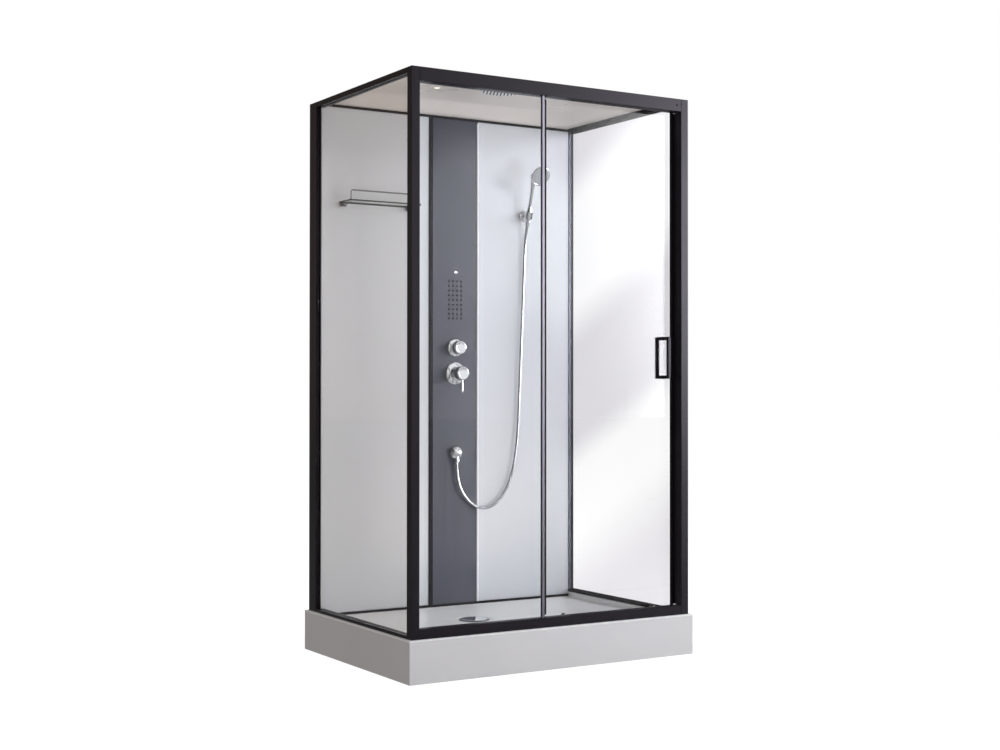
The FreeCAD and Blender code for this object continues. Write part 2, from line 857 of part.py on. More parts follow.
def door_seal():
    """Splash seal on the door's inner edge: a fin towards the fixed pane, and a lip that laps its profile's leg."""
    x = (door_left - seal_overhang, door_left - seal_overhang + seal_width)
    z = (front_opening_low + seal_end_gap, front_opening_high - seal_end_gap)
    strip = block(x, around(door_middle, seal_depth), z)
    fin_end = door_middle - seal_depth / 2 - seal_fin_reach
    fin = block((x[0], x[0] + seal_fin_thickness), (fin_end, door_middle - seal_depth / 2), z)
    lip = block((x[0] - seal_lip_reach, x[0]), (fin_end, fin_end + seal_fin_thickness), z)
    strip = fused([strip, fin, lip])
    return strip.cut(block((door_left, x[1] + cut_over), around(door_middle, channel_width),
                           (z[0] - cut_over, z[1] + cut_over)))


def handle_stud_heights():
    """Heights of the two studs that hold the handles."""
    reach = (handle_length - handle_bar) / 2
    return (handle_height - reach, handle_height + reach)


def door_handle(glass_face, way, with_studs):
    """Square-bar pull handle standing off one face of the door."""
    bar_near = glass_face + way * handle_standoff
    bar_far = bar_near + way * handle_bar
    bar = block(around(handle_x, handle_bar), (bar_near, bar_far), around(handle_height, handle_length))
    pieces = [bar]
    for z in handle_stud_heights():
        pieces.append(block(around(handle_x, handle_bar), (glass_face, bar_near), around(z, handle_bar)))
    grip = fused(pieces)
    far_edges = [edge for edge in grip.Edges
                 if all(abs(y - bar_far) < seat_gap for y in (edge.BoundBox.YMin, edge.BoundBox.YMax))]
    grip = grip.makeFillet(handle_round, far_edges)
    for z in handle_stud_heights():
        foot = Vector(handle_x, glass_face, z)
        rose = Part.makeCylinder(handle_rose_radius, handle_rose_thickness, foot, Vector(0, way, 0))
        grip = fused([grip, rose])
        if with_studs:
            grip = fused([grip, rod(foot, foot - Vector(0, way * glass_thickness, 0), handle_stud_radius)])
    return grip


def roller_carriers():
    """Four carriers clamped through the door's glass, each with the axle of its roller."""
    axle = wheel_bore_radius - running_gap
    pieces = []
    for x, z, wheel, root in axle_places().values():
        flange = -carrier_flange_length
        pin_end = flange - wheel_width - 2 * seat_gap
        cap = glass_thickness + carrier_cap_length
        pieces.append(turned([
            (0, cap), (carrier_cap_radius - carrier_cap_bevel, cap),
            (carrier_cap_radius, cap - carrier_cap_bevel), (carrier_cap_radius, glass_thickness),
            (carrier_shank_radius, glass_thickness), (carrier_shank_radius, 0),
            (carrier_flange_radius, 0), (carrier_flange_radius, flange), (axle, flange), (axle, pin_end),
            (axle_head_radius, pin_end), (axle_head_radius, pin_end - axle_head_length),
            (0, pin_end - axle_head_length)], Vector(x, door_front, z), Vector(0, 1, 0)))
    return Part.makeCompound(pieces)


def roller(place):
    """Grooved wheel that runs on the track's lip."""
    x, z, wheel, root = place
    half = wheel_width / 2
    groove = track_thickness / 2 + wheel_groove_gap
    return turned([(wheel_bore_radius, -half), (wheel, -half), (wheel, -groove), (root, -groove),
                   (root, groove), (wheel, groove), (wheel, half), (wheel_bore_radius, half)],
                  Vector(x, track_y, z), Vector(0, 1, 0))


def wall_panel_left():
    """White back-painted glass on the left of the back wall, which runs on to the side pane between its rails."""
    y = (wall_front, wall_back)
    panel = block((-inner_x, mullion_x - mullion_web / 2), y, (panel_low, panel_high))
    edge = block((glass_gap - side_glass_inside, -inner_x), y,
                 (side_opening_low + seat_gap, side_opening_high - seat_gap))
    return fused([panel, edge])


def wall_panel_right():
    """White back-painted glass on the right of the back wall."""
    return block((column_right + panel_joint, inner_x), (wall_front, wall_back), (panel_low, panel_high))


def wall_mullion():
    """T-shaped upright between the left panel and the column."""
    cap = block(around(mullion_x, mullion_width), (wall_front - trim_lip, wall_front),
                (wall_ledge_height + trim_height, roof_seat - trim_height))
    web = block(around(mullion_x, mullion_web), (wall_front, wall_back), (panel_low, panel_high))
    return fused([cap, web])


def wall_edge_trims():
    """Angle trims along the foot and head of the back wall."""
    trims = []
    for edge, way in ((wall_ledge_height, 1), (roof_seat, -1)):
        base = block((-inner_x, inner_x), (wall_front, wall_back), (edge, edge + way * trim_base))
        lip = block((-inner_x, inner_x), (wall_front - trim_lip, wall_front),
                    (edge, edge + way * trim_height))
        trims.append(fused([base, lip]))
    return Part.makeCompound(trims)


def wall_corner_profile():
    """Upright profile that closes the right corner between the back wall and the side pane."""
    return block((inner_x, side_glass_inside), (wall_front - corner_front, wall_back),
                 (side_opening_low, side_opening_high))


def jet_places():
    """Grid of the body jets in X and Z."""
    first_x = column_axis - jet_pitch * (jet_columns - 1) / 2
    first_z = jet_centre_height - jet_pitch * (jet_rows - 1) / 2
    return [(first_x + jet_pitch * column, first_z + jet_pitch * row)
            for row in range(jet_rows) for column in range(jet_columns)]


def column_panel():
    """Dark centre panel, drilled for the jets, the valves and the hose outlet."""
    panel = block((mullion_x + mullion_web / 2, column_right), (wall_front, wall_back),
                  (panel_low, panel_high))
    holes = [(x, z, jet_radius) for x, z in jet_places()]
    holes.append((column_axis, upper_jet_height, upper_jet_shank))
    holes.append((column_axis, diverter_height, valve_neck_radius))
    holes.append((column_axis, mixer_height, valve_neck_radius))
    holes.append((column_axis, elbow_height, elbow_shank_radius))
    drills = [rod(Vector(x, wall_front - cut_over, z), Vector(x, wall_back + cut_over, z), radius + hole_gap)
              for x, z, radius in holes]
    return panel.cut(Part.makeCompound(drills))


def jet_nozzles():
    """Rubber nozzles that stand out of the column in a grid."""
    nozzles = []
    for x, z in jet_places():
        nozzles.append(turned([(0, -panel_thickness), (jet_radius, -panel_thickness),
                               (jet_radius, jet_nose / 2), (jet_tip_radius, jet_nose), (0, jet_nose)],
                              Vector(x, wall_front, z), out_of_wall))
    return Part.makeCompound(nozzles)


def manifold_box():
    """Half width and half height of the jet manifold."""
    half_x = jet_pitch * (jet_columns - 1) / 2 + manifold_margin
    half_z = jet_pitch * (jet_rows - 1) / 2 + manifold_margin
    return half_x, half_z


def jet_manifold():
    """Flat water chest behind the jets."""
    half_x, half_z = manifold_box()
    chest = block((column_axis - half_x, column_axis + half_x), (wall_back, wall_back + manifold_depth),
                  (jet_centre_height - half_z, jet_centre_height + half_z))
    upright = [edge for edge in chest.Edges if edge.BoundBox.YLength > manifold_depth / 2]
    return chest.makeFillet(manifold_round, upright)


def upper_jet():
    """Single chromed spray jet above the grid."""
    tail = -panel_thickness - upper_jet_tail
    return turned([(0, upper_jet_projection), (upper_jet_shank, upper_jet_projection),
                   (upper_jet_radius, upper_jet_projection / 2), (upper_jet_radius, 0), (upper_jet_shank, 0),
                   (upper_jet_shank, tail), (0, tail)],
                  Vector(column_axis, wall_front, upper_jet_height), out_of_wall)


def valve_block():
    """Brass mixer and diverter bodies, joined by a pipe, with the two water inlets."""
    back = wall_back + valve_block_depth
    middle_y = wall_back + pipe_setback
    pieces = [
        block(around(column_axis, mixer_block_width), (wall_back, back),
              around(mixer_height, mixer_block_height)),
        block(around(column_axis, diverter_block_width), (wall_back, back),
              around(diverter_height, diverter_block_height)),
        rod(Vector(column_axis, middle_y, mixer_height), Vector(column_axis, middle_y, diverter_height),
            valve_link_radius),
    ]
    for z in (mixer_height, diverter_height):
        neck = Vector(column_axis, wall_front, z)
        pieces.append(rod(neck, Vector(column_axis, back, z), valve_neck_radius))
    for side in (-1, 1):
        inlet = Vector(column_axis + side * inlet_offset, back, mixer_height)
        pieces.append(rod(inlet, inlet + Vector(0, inlet_length, 0), inlet_radius))
    body = fused(pieces)
    for z, radius, depth in ((mixer_height, mixer_stem_radius, mixer_stem_depth),
                             (diverter_height, diverter_stem_radius, diverter_stem_depth)):
        mouth = Vector(column_axis, wall_front - cut_over, z)
        end = Vector(column_axis, wall_front + depth + seat_gap, z)
        body = body.cut(rod(mouth, end, radius + running_gap))
    return body


def mixer_rose():
    """Round cover plate with a sleeve that ends in a ball seat for the lever cap."""
    pivot = mixer_pivot_out
    inner_ball = mixer_ball_radius - mixer_ball_wall

    def on_ball(ball, radius):
        return pivot + math.sqrt(ball ** 2 - radius ** 2)

    shoulder = (mixer_sleeve_radius + mixer_mouth_radius) / 2
    inner_mid = (mixer_cavity_radius + mixer_mouth_radius) / 2
    return turned([
        (mixer_cavity_radius, 0), (mixer_rose_radius, 0), (mixer_rose_radius, mixer_rose_edge),
        (mixer_sleeve_radius + mixer_rose_edge, mixer_rose_thickness),
        (mixer_sleeve_radius, mixer_rose_thickness),
        (mixer_sleeve_radius, on_ball(mixer_ball_radius, mixer_sleeve_radius)),
        (shoulder, on_ball(mixer_ball_radius, shoulder),
         mixer_mouth_radius, on_ball(mixer_ball_radius, mixer_mouth_radius)),
        (mixer_mouth_radius, on_ball(inner_ball, mixer_mouth_radius)),
        (inner_mid, on_ball(inner_ball, inner_mid),
         mixer_cavity_radius, on_ball(inner_ball, mixer_cavity_radius))],
        Vector(column_axis, wall_front, mixer_height), out_of_wall)


def mixer_pivot():
    """Point about which the mixer's lever cap tilts."""
    return Vector(column_axis, wall_front - mixer_pivot_out, mixer_height)


def mixer_stem():
    """Cartridge stem that turns with the lever, with a fork and cross pin for its tilt."""
    base = Vector(column_axis, wall_front, mixer_height)
    stem = turned([(0, -mixer_stem_depth), (mixer_stem_radius, -mixer_stem_depth),
                   (mixer_stem_radius, seat_gap), (mixer_fork_radius, seat_gap),
                   (mixer_fork_radius, mixer_fork_out), (0, mixer_fork_out)],
                  base, out_of_wall)
    slot = 2 * (mixer_neck_radius + seat_gap)
    floor = mixer_pivot_out - mixer_eye_radius - seat_gap
    stem = stem.cut(block(around(column_axis, slot),
                          (wall_front - floor, wall_front - mixer_fork_out - cut_over),
                          around(mixer_height, 2 * mixer_fork_radius + 2 * cut_over)))
    pin_half = Vector(mixer_fork_radius - mixer_stem_relief, 0, 0)
    return fused([stem, rod(mixer_pivot() - pin_half, mixer_pivot() + pin_half, mixer_pin_radius)])


def mixer_handle():
    """Lever cap: a thick disc hollowed to the ball seat, a neck to the pivot, and a hanging pin lever."""
    base = Vector(column_axis, wall_front, mixer_height)
    pivot = mixer_pivot_out
    ball = mixer_ball_radius + seat_gap
    rim = mixer_sleeve_radius
    middle = rim / 2
    cap = turned([
        (0, mixer_cap_out), (rim - mixer_cap_round, mixer_cap_out), (rim, mixer_cap_out - mixer_cap_round),
        (rim, pivot + math.sqrt(ball ** 2 - rim ** 2)),
        (middle, pivot + math.sqrt(ball ** 2 - middle ** 2), 0, pivot + ball)], base, out_of_wall)
    neck_end = base + out_of_wall * (pivot + ball + mixer_cap_round)
    neck = rod(mixer_pivot(), neck_end, mixer_neck_radius)
    eye_half = Vector(mixer_neck_radius, 0, 0)
    eye = rod(mixer_pivot() - eye_half, mixer_pivot() + eye_half, mixer_eye_radius)
    lever_y = wall_front - mixer_cap_out + lever_setback
    top = Vector(column_axis, lever_y, mixer_height - rim / 2)
    tip = Vector(column_axis, lever_y - lever_bow, mixer_height - rim - lever_drop)
    bend = (top + tip) / 2 + Vector(0, lever_bow, 0)
    path = Part.Wire([Part.Arc(top, bend, tip).toShape()])
    start = path.Edges[0].tangentAt(path.Edges[0].FirstParameter)
    lever = path.makePipeShell([Part.Wire(Part.makeCircle(lever_radius, top, start))], True, False)
    handle = fused([cap, neck, eye, lever])
    bore_half = Vector(mixer_eye_radius, 0, 0)
    bore = rod(mixer_pivot() - bore_half, mixer_pivot() + bore_half, mixer_pin_radius + running_gap)
    return handle.cut(bore)


def diverter_rose():
    """Round cover plate of the diverter."""
    hole = diverter_stem_radius + seat_gap
    slope = diverter_rose_thickness - diverter_rose_edge
    return turned([(hole, 0), (diverter_rose_radius, 0), (diverter_rose_radius, diverter_rose_edge),
                   (diverter_rose_radius - slope, diverter_rose_thickness), (hole, diverter_rose_thickness)],
                  Vector(column_axis, wall_front, diverter_height), out_of_wall)


def diverter_knob():
    """Waisted selector knob with its stem and a raised index mark."""
    near = diverter_rose_thickness + seat_gap
    far = diverter_knob_out
    knob = turned([
        (0, -diverter_stem_depth), (diverter_stem_radius, -diverter_stem_depth), (diverter_stem_radius, near),
        (diverter_knob_waist, near), (diverter_knob_radius, (near + far) / 2),
        (diverter_knob_radius, far - diverter_knob_round), (diverter_knob_radius - diverter_knob_round, far),
        (0, far)], Vector(column_axis, wall_front, diverter_height), out_of_wall)
    mark_at = Vector(column_axis, wall_front - far,
                     diverter_height + diverter_knob_radius - 2 * diverter_knob_round - diverter_mark_radius)
    mark = rod(mark_at, mark_at + out_of_wall * diverter_mark_height, diverter_mark_radius)
    return fused([knob, mark])


def hose_elbow():
    """Wall outlet for the hose: a domed shell, and a spout with a nut that points down out of it."""
    base = Vector(column_axis, wall_front, elbow_height)
    tail = -panel_thickness - elbow_tail
    middle = math.sqrt(1 / 2)
    bulge = elbow_dome_out - elbow_dome_edge
    shell = turned([(0, tail), (elbow_shank_radius, tail), (elbow_shank_radius, 0), (elbow_dome_radius, 0),
                    (elbow_dome_radius, elbow_dome_edge),
                    (elbow_dome_radius * middle, elbow_dome_edge + bulge * middle, 0, elbow_dome_out)],
                   base, out_of_wall)
    foot = Vector(column_axis, wall_front - outlet_out, elbow_height - elbow_drop)
    nut = turned([(0, 0), (elbow_nut_tip, 0), (elbow_nut_radius, elbow_nut_taper),
                  (elbow_nut_radius, elbow_nut_height), (elbow_nut_tip, elbow_nut_height),
                  (elbow_nut_tip, elbow_drop), (0, elbow_drop)], foot, up)
    return fused([shell, nut])


def leaning(shape):
    """Place a piece that was modelled upright about the holder's ring."""
    shape.Placement = FreeCAD.Placement(holder_centre(), Rotation(Vector(1, 0, 0), hand_lean))
    return shape


def holder_centre():
    """Middle of the holder's ring."""
    return Vector(holder_x, wall_front - holder_out, holder_height)


def shower_holder():
    """Wall bracket with a slotted cone that carries the hand shower."""
    base = Vector(holder_x, wall_front, holder_height)
    reach = holder_out - hand_cone_high
    arm = turned([(0, 0), (holder_rose_radius, 0), (holder_rose_radius, holder_rose_edge),
                  (holder_arm_radius, holder_rose_thickness), (holder_arm_radius, reach), (0, reach)],
                 base, out_of_wall)
    half = holder_ring_half
    ring = leaning(turned([(0, -half), (holder_ring_radius, -half), (holder_ring_radius, half), (0, half)],
                          Vector(0, 0, 0), up))
    slope = (hand_cone_high - hand_cone_low) / (2 * half)
    low = hand_cone_low + seat_gap - slope * cut_over
    high = hand_cone_high + seat_gap + slope * cut_over
    bore = leaning(Part.makeCone(low, high, 2 * (half + cut_over), Vector(0, 0, -half - cut_over)))
    slot = leaning(block(around(0, holder_slot), (0, -holder_ring_radius - cut_over),
                         around(0, 2 * (half + cut_over))))
    return fused([arm, ring]).cut(bore).cut(slot)


def hand_shower():
    """Hand shower: hose nut, tapered foot, slim grip that flares into a round spray head, and its nozzles."""
    half = holder_ring_half
    nut = turned([(0, -hand_nut_low), (hand_nut_tip, -hand_nut_low),
                  (hand_nut_radius, hand_nut_taper - hand_nut_low), (hand_nut_radius, -hand_foot),
                  (0, -hand_foot)], Vector(0, 0, 0), up)
    grip = turned([(0, -hand_foot), (hand_nut_radius, -hand_foot), (hand_cone_low, -half),
                   (hand_cone_high, half), (hand_grip_radius, half + hand_grip_taper),
                   (hand_grip_radius, hand_grip_length), (0, hand_grip_length)],
                  Vector(0, 0, 0), up)
    turn = math.radians(hand_neck_turn)
    bend = Vector(0, -hand_neck_bend, hand_grip_length)

    def on_bend(angle):
        return bend + Vector(0, hand_neck_bend * math.cos(angle), hand_neck_bend * math.sin(angle))

    sections = [Part.Wire(Part.makeCircle(hand_grip_radius, Vector(0, 0, hand_flare_start), up))]
    for step in range(hand_flare_steps + 1):
        share = step / hand_flare_steps
        angle = turn * share
        along = Vector(0, -math.sin(angle), math.cos(angle))
        width = hand_grip_radius + (hand_flare_width - hand_grip_radius) * (share + share ** 2) / 2
        depth = hand_grip_radius + (hand_flare_thickness - hand_grip_radius) * share
        width = max(width, depth + running_gap)
        oval = Part.Ellipse(Vector(0, 0, 0), width, depth).toShape()
        oval.Placement = FreeCAD.Placement(on_bend(angle), Rotation(up, along))
        sections.append(Part.Wire(oval))
    neck = Part.makeLoft(sections, True)
    facing = math.radians(head_turn)
    spray = Vector(0, -math.sin(facing), math.cos(facing))
    face = Vector(0, -head_forward, head_up)
    head = turned([
        (0, face_rise), (face_radius, face_rise), (face_radius, 0), (head_radius, 0),
        (head_radius, -head_edge), (head_shoulder, -head_shoulder_depth), (head_crown, -head_depth),
        (0, -head_depth)], face, spray)
    nozzles = []
    across = Vector(1, 0, 0)
    upward = spray.cross(across)
    for count, share in face_ring_shares:
        ring = share * face_radius
        for step in range(count):
            angle = 2 * math.pi * step / count
            foot = face + across * (ring * math.cos(angle)) + upward * (ring * math.sin(angle))
            nozzles.append(rod(foot, foot + spray * (face_rise + face_nozzle_height), face_nozzle_radius))
    body = fused([grip, neck, head] + nozzles)
    return leaning(Part.makeCompound([nut, body]))


def hose_points():
    """The hose's route from the outlet's nut to the hand shower's nut."""
    lean = math.radians(hand_lean)
    along = Vector(0, -math.sin(lean), math.cos(lean))
    end = holder_centre() - along * hand_nut_low
    bend = end - along * hose_top_run
    return list(hose_route) + [tuple(bend), tuple(end)]


def shower_hose():
    """Silver shower hose that hangs in a loop from the outlet to the hand shower."""
    return bent_tube(hose_points(), hose_radius, label="hose")


def shelf_glass():
    """Clear glass shelf with round front corners."""
    y = (wall_front - shelf_depth, wall_front)
    pane = block(around(shelf_x, shelf_width), y, (shelf_height - shelf_thickness, shelf_height))
    upright = [edge for edge in pane.Edges if edge.BoundBox.ZLength > shelf_thickness / 2]
    corners = [edge for edge in upright if edge.BoundBox.YMax < wall_front - shelf_corner]
    return pane.makeFillet(shelf_corner, corners)


def shelf_gallery():
    """Chromed guard rod along the shelf's front, bent down at its ends onto two small feet on the glass."""
    low = shelf_height
    z = shelf_height + gallery_rise
    half = shelf_width / 2 - gallery_inset
    front = wall_front - shelf_depth + gallery_inset
    left = shelf_x - half
    right = shelf_x + half
    rail = bent_tube([(left, front, low), (left, front, z), (right, front, z), (right, front, low)],
                     gallery_radius, (gallery_bend, gallery_bend))
    feet = [rod(Vector(x, front, low), Vector(x, front, low + gallery_foot_height), gallery_foot_radius)
            for x in (left, right)]
    return fused([rail] + feet)


def shelf_brackets():
    """Two chromed blocks that carry the shelf at the wall."""
    under = shelf_height - shelf_thickness
    brackets = []
    for side in (-1, 1):
        x = shelf_x + side * (shelf_width / 2 - bracket_inset)
        bracket = block(around(x, bracket_width), (wall_front - bracket_depth, wall_front),
                        (under - bracket_height, under))
        front = [edge for edge in bracket.Edges if edge.BoundBox.YMax < wall_front - bracket_depth / 2]
        front = [edge for edge in front if edge.BoundBox.ZMax < under - bracket_round]
        brackets.append(bracket.makeFillet(bracket_round, front))
    return Part.makeCompound(brackets)


def dome(lift):
    """Hipped dome of the roof, steeper at the back than in front, moved up by lift."""
    foot = roof_seat + lift
    low = rounded_rectangle(dome_base_x, dome_base_y, dome_base_corner, foot)
    high = rounded_rectangle(dome_top_x, dome_top_y, dome_top_corner, foot + dome_rise + roof_thickness)
    high.translate(Vector(0, dome_top_shift, 0))
    return Part.makeLoft([low, high], True, True)


def roof_shell():
    """White moulded roof: a flange on the rails' ledges and a shallow hipped dome."""
    edge_x = inner_x - roof_edge_gap
    flange = block((-edge_x, edge_x), (front_inner_y + roof_edge_gap, rear_rail_front - roof_edge_gap),
                   (roof_seat, roof_seat + roof_thickness))
    shell = fused([flange, dome(0)]).cut(dome(-roof_thickness))
    drill = 2 * (dome_rise + cut_over)
    start = roof_seat - cut_over
    pipe_x = column_axis + rain_pipe_offset
    for x, y, radius in ((rain_x, rain_y, rain_spigot_radius), (pipe_x, pipe_y, pipe_radius)):
        shell = shell.cut(Part.makeCylinder(radius + hole_gap, drill, Vector(x, y, start)))
    return shell


def overhead_shower():
    """Round rain shower hung from the roof, with rings of nozzles and a spigot through the dome."""
    base = Vector(rain_x, rain_y, ceiling_height - rain_drop)
    spigot = rain_drop + roof_thickness + rain_spigot_height
    plate = turned([(0, 0), (rain_radius, 0), (rain_radius, rain_edge), (rain_shoulder, rain_body),
                    (rain_neck_radius, rain_body), (rain_neck_radius, rain_drop),
                    (rain_spigot_radius, rain_drop), (rain_spigot_radius, spigot), (0, spigot)], base, up)
    nozzles = []
    for count, share in rain_ring_shares:
        ring = share * rain_radius
        for step in range(count):
            angle = 2 * math.pi * step / count
            foot = base + Vector(ring * math.cos(angle), ring * math.sin(angle), 0)
            nozzles.append(hexagon(foot, rain_nozzle_radius, -rain_nozzle_height))
    return fused([plate] + nozzles)


def ceiling_light():
    """Round lamp under the dome, with a raised lens."""
    return turned([(0, 0), (light_lens_radius, 0), (light_radius, light_bevel),
                   (light_radius, light_thickness), (0, light_thickness)],
                  Vector(light_x, light_y, ceiling_height - light_thickness), up)


def supply_pipes():
    """Pipes from the diverter to the jets, the hose outlet and the rain shower."""
    half_x, half_z = manifold_box()
    diverter_side = diverter_block_width / 2
    jets = rod(Vector(column_axis, pipe_y, diverter_height + diverter_block_height / 2),
               Vector(column_axis, pipe_y, jet_centre_height - half_z), pipe_radius)
    left = column_axis - hose_pipe_offset
    shank = column_axis - elbow_shank_radius - hole_gap
    hose = bent_tube([(column_axis - diverter_side, pipe_y, diverter_height), (left, pipe_y, diverter_height),
                      (left, pipe_y, elbow_height), (shank, pipe_y, elbow_height)], pipe_radius,
                     (pipe_bend, pipe_bend))
    right = column_axis + rain_pipe_offset
    roof_pipe = roof_top + roof_pipe_rise + rain_spigot_height / 2
    spigot = roof_top + rain_spigot_height
    rain = bent_tube([(column_axis + diverter_side, pipe_y, diverter_height),
                      (right, pipe_y, diverter_height), (right, pipe_y, roof_pipe),
                      (column_axis, roof_pipe_turn_y, roof_pipe),
                      (rain_x, rain_y, roof_pipe), (rain_x, rain_y, spigot)], pipe_radius,
                     (pipe_bend, pipe_bend, pipe_bend, roof_pipe_bend))
    return Part.makeCompound([jets, hose, rain])


pieces = {
    "tray_basin": tray_basin(),
    "apron_front": apron_front(),
    "side_aprons": side_aprons(),
    "tray_frame": tray_frame(),
    "levelling_feet": levelling_feet(),
    "drain_flange": drain_flange(),
    "drain_trap": drain_trap(),
    "drain_cover": drain_cover(),
    "post_front_left": front_post(-1, True),
    "post_front_right": front_post(1, False),
    "post_rear_left": rear_post(-1),
    "post_rear_right": rear_post(1),
    "rail_bottom_front": rail_bottom_front(),
    "rail_bottom_left": bottom_side_rail(-1),
    "rail_bottom_right": bottom_side_rail(1),
    "rail_top_front": rail_top_front(),
    "rail_top_left": top_side_rail(-1),
    "rail_top_right": top_side_rail(1),
    "rail_top_rear": rail_top_rear(),
    "fixed_glass_front": fixed_glass_front(),
    "fixed_glass_profile": fixed_glass_profile(),
    "glass_left": side_glass(-1),
    "glass_right": side_glass(1),
    "door_jamb": door_jamb(),
    "door_glass": door_glass(),
    "door_stile": door_stile(),
    "door_seal": door_seal(),
    "handle_outer": door_handle(door_front, -1, True),
    "handle_inner": door_handle(door_back, 1, False),
    "roller_carriers": roller_carriers(),
    "wall_panel_left": wall_panel_left(),
    "wall_panel_right": wall_panel_right(),
    "column_panel": column_panel(),
    "wall_mullion": wall_mullion(),
    "wall_edge_trims": wall_edge_trims(),
    "wall_corner_profile": wall_corner_profile(),
    "jet_nozzles": jet_nozzles(),
    "jet_manifold": jet_manifold(),
    "upper_jet": upper_jet(),
    "valve_block": valve_block(),
    "mixer_rose": mixer_rose(),
    "mixer_stem": mixer_stem(),
    "mixer_handle": mixer_handle(),
    "diverter_rose": diverter_rose(),
    "diverter_knob": diverter_knob(),
    "hose_elbow": hose_elbow(),
    "shower_holder": shower_holder(),
    "hand_shower": hand_shower(),
    "shower_hose": shower_hose(),
    "shelf_glass": shelf_glass(),
    "shelf_gallery": shelf_gallery(),
    "shelf_brackets": shelf_brackets(),
    "roof_shell": roof_shell(),
    "overhead_shower": overhead_shower(),
    "ceiling_light": ceiling_light(),
    "supply_pipes": supply_pipes(),
}
for wheel_name, place in axle_places().items():
    pieces[wheel_name] = roller(place)

os.makedirs("parts", exist_ok=True)
for name, shape in pieces.items():
    shape.exportStep("parts/" + name + ".step")
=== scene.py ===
"""Shower cabin, dressed for the picture: a tray, a black frame with glass, a sliding door and a fitted back wall.

Sizes are in millimetres in the cabin's own frame and become metres when a piece is made.
"""
import math

import bmesh
import bpy
import numpy as np
from mathutils import Matrix


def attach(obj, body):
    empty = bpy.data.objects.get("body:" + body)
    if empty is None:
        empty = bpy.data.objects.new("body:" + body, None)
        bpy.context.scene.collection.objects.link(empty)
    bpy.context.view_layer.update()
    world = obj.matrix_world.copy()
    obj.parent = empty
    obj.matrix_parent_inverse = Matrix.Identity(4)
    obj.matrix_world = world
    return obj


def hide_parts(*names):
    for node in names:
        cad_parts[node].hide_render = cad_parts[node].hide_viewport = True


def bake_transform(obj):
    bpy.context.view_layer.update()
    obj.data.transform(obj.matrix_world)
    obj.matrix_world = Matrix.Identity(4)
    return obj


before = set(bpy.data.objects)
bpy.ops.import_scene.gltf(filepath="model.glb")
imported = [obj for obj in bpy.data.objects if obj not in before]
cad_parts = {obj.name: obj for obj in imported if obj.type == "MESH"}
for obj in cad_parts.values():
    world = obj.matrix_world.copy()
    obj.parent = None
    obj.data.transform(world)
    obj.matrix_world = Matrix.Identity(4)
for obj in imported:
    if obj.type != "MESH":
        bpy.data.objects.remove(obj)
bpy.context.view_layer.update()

# Tray and skirts: a shallow basin, vacuum-formed from white acrylic sheet, on three flat skirt panels of the same.
# Vacuum forming leaves soft edges and a faint orange peel under the gloss.
metre = 0.001
weld_reach = 0.01
flat_turn, edge_turn = math.radians(0.5), math.radians(40)


def linear(code):
    """An sRGB hex colour as linear red, green and blue, with full alpha."""
    srgb = np.array([int(code[i:i + 2], 16) for i in (1, 3, 5)]) / 255
    rgb = np.where(srgb <= 0.04045, srgb / 12.92, ((srgb + 0.055) / 1.055) ** 2.4)
    return (*rgb.tolist(), 1.0)


def add(tree, kind, settings, links=None):
    """Adds a node: a setting goes to the input of that name or number, or else to the node's own property."""
    made = tree.nodes.new(kind)
    for key, value in settings.items():
        if isinstance(key, int) or key in made.inputs:
            made.inputs[key].default_value = value
        else:
            setattr(made, key, value)
    for key, output in (links or {}).items():
        tree.links.new(output, made.inputs[key])
    return made


def finish(name, tints, patch, rough, grain, relief, shell):
    """A finish: two tints and two roughnesses that drift in soft patches, and a fine grain that stands up.

    patch, grain and relief are millimetres; shell holds the values that are the same all over.
    """
    material = bpy.data.materials.new(name)
    material.use_nodes = True
    tree = material.node_tree
    coat = tree.nodes["Principled BSDF"]
    for key, value in shell.items():
        coat.inputs[key].default_value = value
    place = add(tree, "ShaderNodeTexCoord", {}).outputs["Object"]
    cloud = add(tree, "ShaderNodeTexNoise", {"Scale": 1 / (patch * metre), "Detail": 3.0}, {"Vector": place})
    tint = add(tree, "ShaderNodeMix", {"data_type": "RGBA", 6: linear(tints[0]), 7: linear(tints[1])},
               {0: cloud.outputs["Fac"]})
    gloss = add(tree, "ShaderNodeMapRange", {"To Min": rough[0], "To Max": rough[1]},
                {"Value": cloud.outputs["Fac"]})
    pores = add(tree, "ShaderNodeTexNoise", {"Scale": 1 / (grain * metre), "Detail": 2.0}, {"Vector": place})
    bump = add(tree, "ShaderNodeBump", {"Distance": relief * metre}, {"Height": pores.outputs["Fac"]})
    tree.links.new(tint.outputs[2], coat.inputs["Base Color"])
    tree.links.new(gloss.outputs["Result"], coat.inputs["Roughness"])
    tree.links.new(bump.outputs["Normal"], coat.inputs["Normal"])
    return material


def dress(material, edge, *names):
    """Gives CAD pieces their finish, and eases their sharp edges by a small radius in millimetres.

    The loose triangles are welded, flat areas are joined, and then edges that turn by edge_turn are bevelled.
    """
    for name in names:
        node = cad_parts[name]
        node.material_slots[0].material = material
        if edge:
            node.modifiers.new("weld", "WELD").merge_threshold = weld_reach * metre
            flat = node.modifiers.new("flat", "DECIMATE")
            flat.decimate_type = "DISSOLVE"
            flat.angle_limit = flat_turn
            soft = node.modifiers.new("soft_edge", "BEVEL")
            soft.width = edge * metre
            soft.segments = 2
            soft.limit_method = "ANGLE"
            soft.angle_limit = edge_turn


